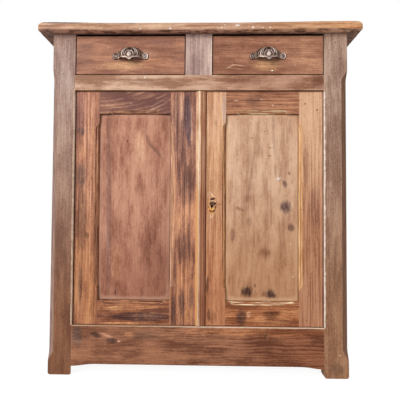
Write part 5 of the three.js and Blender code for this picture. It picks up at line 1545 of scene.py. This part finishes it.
def ear_mesh(side):
    points = []
    for step in range(EAR_STEPS):
        angle = 2 * math.pi * step / EAR_STEPS
        # Painted light: the right ear is lighter than the left, and each ear is lighter on its outer side.
        lit = 0.62 + 0.2 * side + 0.2 * side * math.cos(angle)
        for radius, height, bright in EAR_PROFILE:
            x = side * EAR_X + EAR_HALF[0] * radius * math.cos(angle)
            z = EAR_Z + EAR_HALF[1] * radius * math.sin(angle)
            points.append((x, -EAR_THICK * height, z, bright * lit))
    rows = len(EAR_PROFILE)
    back = tuple(step * rows + rows - 1 for step in range(EAR_STEPS))
    return points, grid_faces(EAR_STEPS, rows, around=True) + [back]


def flange_mesh():
    """A flat arch round the hood with a rounded outer edge."""
    points = []
    profile = [(0.0, 0.0), (0.0, 1.0), (0.6, 1.0), (1.0, 0.5), (1.0, 0.0)]
    for step in range(FLANGE_STEPS + 1):
        angle = math.pi * step / FLANGE_STEPS
        across = math.copysign(abs(math.cos(angle)) ** HOOD_FULLNESS, math.cos(angle))
        up = abs(math.sin(angle)) ** HOOD_FULLNESS
        for out_share, thick_share in profile:
            out_by = FLANGE_OUT * out_share - HOOD_WALL / 2
            x, z = (HOOD_HALF + out_by) * across, RIM_Z + (HOOD_RISE + out_by) * up
            points.append((x, -FLANGE_THICK * thick_share, z, 0.25))
    rows = len(profile)
    faces = grid_faces(FLANGE_STEPS + 1, rows, closed=True)
    ends = [tuple(range(rows)), tuple(FLANGE_STEPS * rows + row for row in reversed(range(rows)))]
    return points, faces + ends


def bridge_mesh(side):
    """A web from the hood's shoulder to an ear. Each station has its x, upper edge and thickness."""
    stations = [(HOOD_HALF - 5 * MM, 18 * MM, 4.0 * MM), (HOOD_HALF + 1 * MM, 14 * MM, 3.6 * MM),
                (EAR_X - 3 * MM, 10 * MM, 3.2 * MM)]
    points = []
    for x, high, thick in stations:
        for z, y in ((BRIDGE_LOW, 0.0), (BRIDGE_LOW * 0.8, -thick), (high * 0.8, -thick), (high, 0.0)):
            points.append((side * x, y, EAR_Z + z, 0.42 if y else 0.2))
    return points, [(0, 1, 2, 3), (11, 10, 9, 8)] + grid_faces(3, 4, closed=True)


def merge_meshes(meshes):
    points, faces = [], []
    for part_points, part_faces in meshes:
        start = len(points)
        points.extend(part_points)
        faces.extend(tuple(start + index for index in face) for face in part_faces)
    return points, faces


def slotted_screw(radius, dome, slot_width, slot_depth, turn):
    """A round screw head that looks along -Y, with a straight slot cut as a channel across it."""
    points = []
    for row in range(SCREW_RINGS + 1):
        out = row / SCREW_RINGS
        for step in range(SCREW_STEPS):
            angle = 2 * math.pi * step / SCREW_STEPS
            x, z = radius * out * math.cos(angle), radius * out * math.sin(angle)
            off = abs(-x * math.sin(turn) + z * math.cos(turn))
            height = dome * math.sqrt(max(0.0, 1 - out ** 2 * 0.85))
            points.append((x, -height + (slot_depth if off < slot_width / 2 else 0.0), z))
    rim = [(x, dome, z) for x, y, z in points[-SCREW_STEPS:]]
    return points + rim, grid_faces(SCREW_RINGS + 2, SCREW_STEPS, closed=True)


def moved(mesh, place, facing=1):
    """A mesh carried to a place, and turned to look along +Y where facing is -1."""
    points, faces = mesh
    return [(place[0] + x, place[1] + facing * y, place[2] + z) for x, y, z, *_ in points], faces


def make_pull(side):
    low, high = corners(f"{side}_drawer_pull")
    body = f"{side}_drawer"
    place = Vector(((low.x + high.x) / 2, high.y, high.z - EARS_BELOW_TOP))
    ends = [mesh(hand) for mesh in (ear_mesh, bridge_mesh) for hand in (-1, 1)]
    whole = merge_meshes([hood_mesh(), flange_mesh(), *ends])
    pull = add_piece(f"{side}_cup_pull", *moved(whole, place), cast_metal, body, "cast_nickel", 60)
    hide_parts(f"{side}_drawer_pull")
    heights_and_shade = pull.data.attributes.new("relief", "FLOAT", "POINT")
    heights_and_shade.data.foreach_set("value", [point[3] for point in whole[0]])
    for word, hand, turn in (("left", -1, 0.5), ("right", 1, -0.9)):
        spot = place + Vector((hand * EAR_X, -EAR_THICK * 0.55, EAR_Z))
        head = moved(slotted_screw(*PULL_SCREW, turn), spot)
        add_piece(f"{side}_pull_screw_{word}", *head, screw_metal, body, "ironwork")
    print("pull:", side, len(whole[1]), "faces")


for side in SIDES:
    make_pull(side)

# %% [markdown]
# ## Nails and hidden screws
#
# Each back board is nailed twice to the top and the bottom rail. The slide bolt's plate and the
# lock's case have a screw in each corner. These heads look backward.

# %% Nails and hidden screws
NAIL_RADIUS = 3 * MM
NAIL_FROM_EDGE = 16 * MM
PLATE_SCREW = 2 * MM
PLATE_THICKNESS = 2 * MM
PLATE_INSET = (2.9 * MM, 7 * MM)
CASE_SCREW = 2.6 * MM
CASE_INSET = (6 * MM, 6 * MM)


def corner_screws(node, face_y, inset, radius):
    """One slotted screw near each corner of a node's box, each turned another way."""
    low, high = corners(node)
    heads = []
    for x in (low.x + inset[0], high.x - inset[0]):
        for z in (low.z + inset[1], high.z - inset[1]):
            head = slotted_screw(radius, radius / 3, radius / 4, radius / 5, 3.1 * len(heads) + 0.4)
            heads.append(moved(head, (x, face_y, z), -1))
    return merge_meshes(heads)


nail_head = slotted_screw(NAIL_RADIUS, NAIL_RADIUS / 4, 0.0, 0.0, 0.0)
nails = []
for node in back_boards:
    low, high = corners(node)
    for rail in ("back_top_rail", "back_bottom_rail"):
        rail_low, rail_high = corners(rail)
        for x in (low.x + NAIL_FROM_EDGE, high.x - NAIL_FROM_EDGE):
            nails.append(moved(nail_head, (x, high.y, (rail_low.z + rail_high.z) / 2), -1))
plate_y = corners("slide_bolt_case")[0].y + PLATE_THICKNESS
plate_screws = corner_screws("slide_bolt_case", plate_y, PLATE_INSET, PLATE_SCREW)
case_screws = corner_screws("lock_case", corners("lock_case")[1].y, CASE_INSET, CASE_SCREW)
add_piece("back_nails", *merge_meshes(nails), screw_metal, "carcass", "ironwork")
add_piece("bolt_plate_screws", *plate_screws, screw_metal, "left_door", "ironwork")
add_piece("lock_case_screws", *case_screws, screw_metal, "right_door", "ironwork")
print("nails:", len(nails))

# %% [markdown]
# ## Soft arrises on the boards
#
# No old board has a knife edge. A bevel of a millimetre on each board catches the light as a real
# arris does. It only runs where two faces meet at a clear angle.

# %% Bevels
ARRIS = {"carcass": 1.2, "left_door": 1.0, "right_door": 1.0, "left_drawer": 0.8, "right_drawer": 0.8}
BEVEL_ANGLE = math.radians(31)
IRON_WORDS = ("pivot", "bolt", "lock_case")
bevelled = 0
for name, piece in nodes.items():
    body = body_of(piece)[0]
    if body not in ARRIS or any(word in name for word in IRON_WORDS):
        continue
    bevel = piece.modifiers.new("arris", "BEVEL")
    bevel.width = ARRIS[body] * MM
    bevel.segments = 2
    bevel.limit_method = "ANGLE"
    bevel.angle_limit = BEVEL_ANGLE
    bevelled += 1
print("boards with soft arrises:", bevelled)
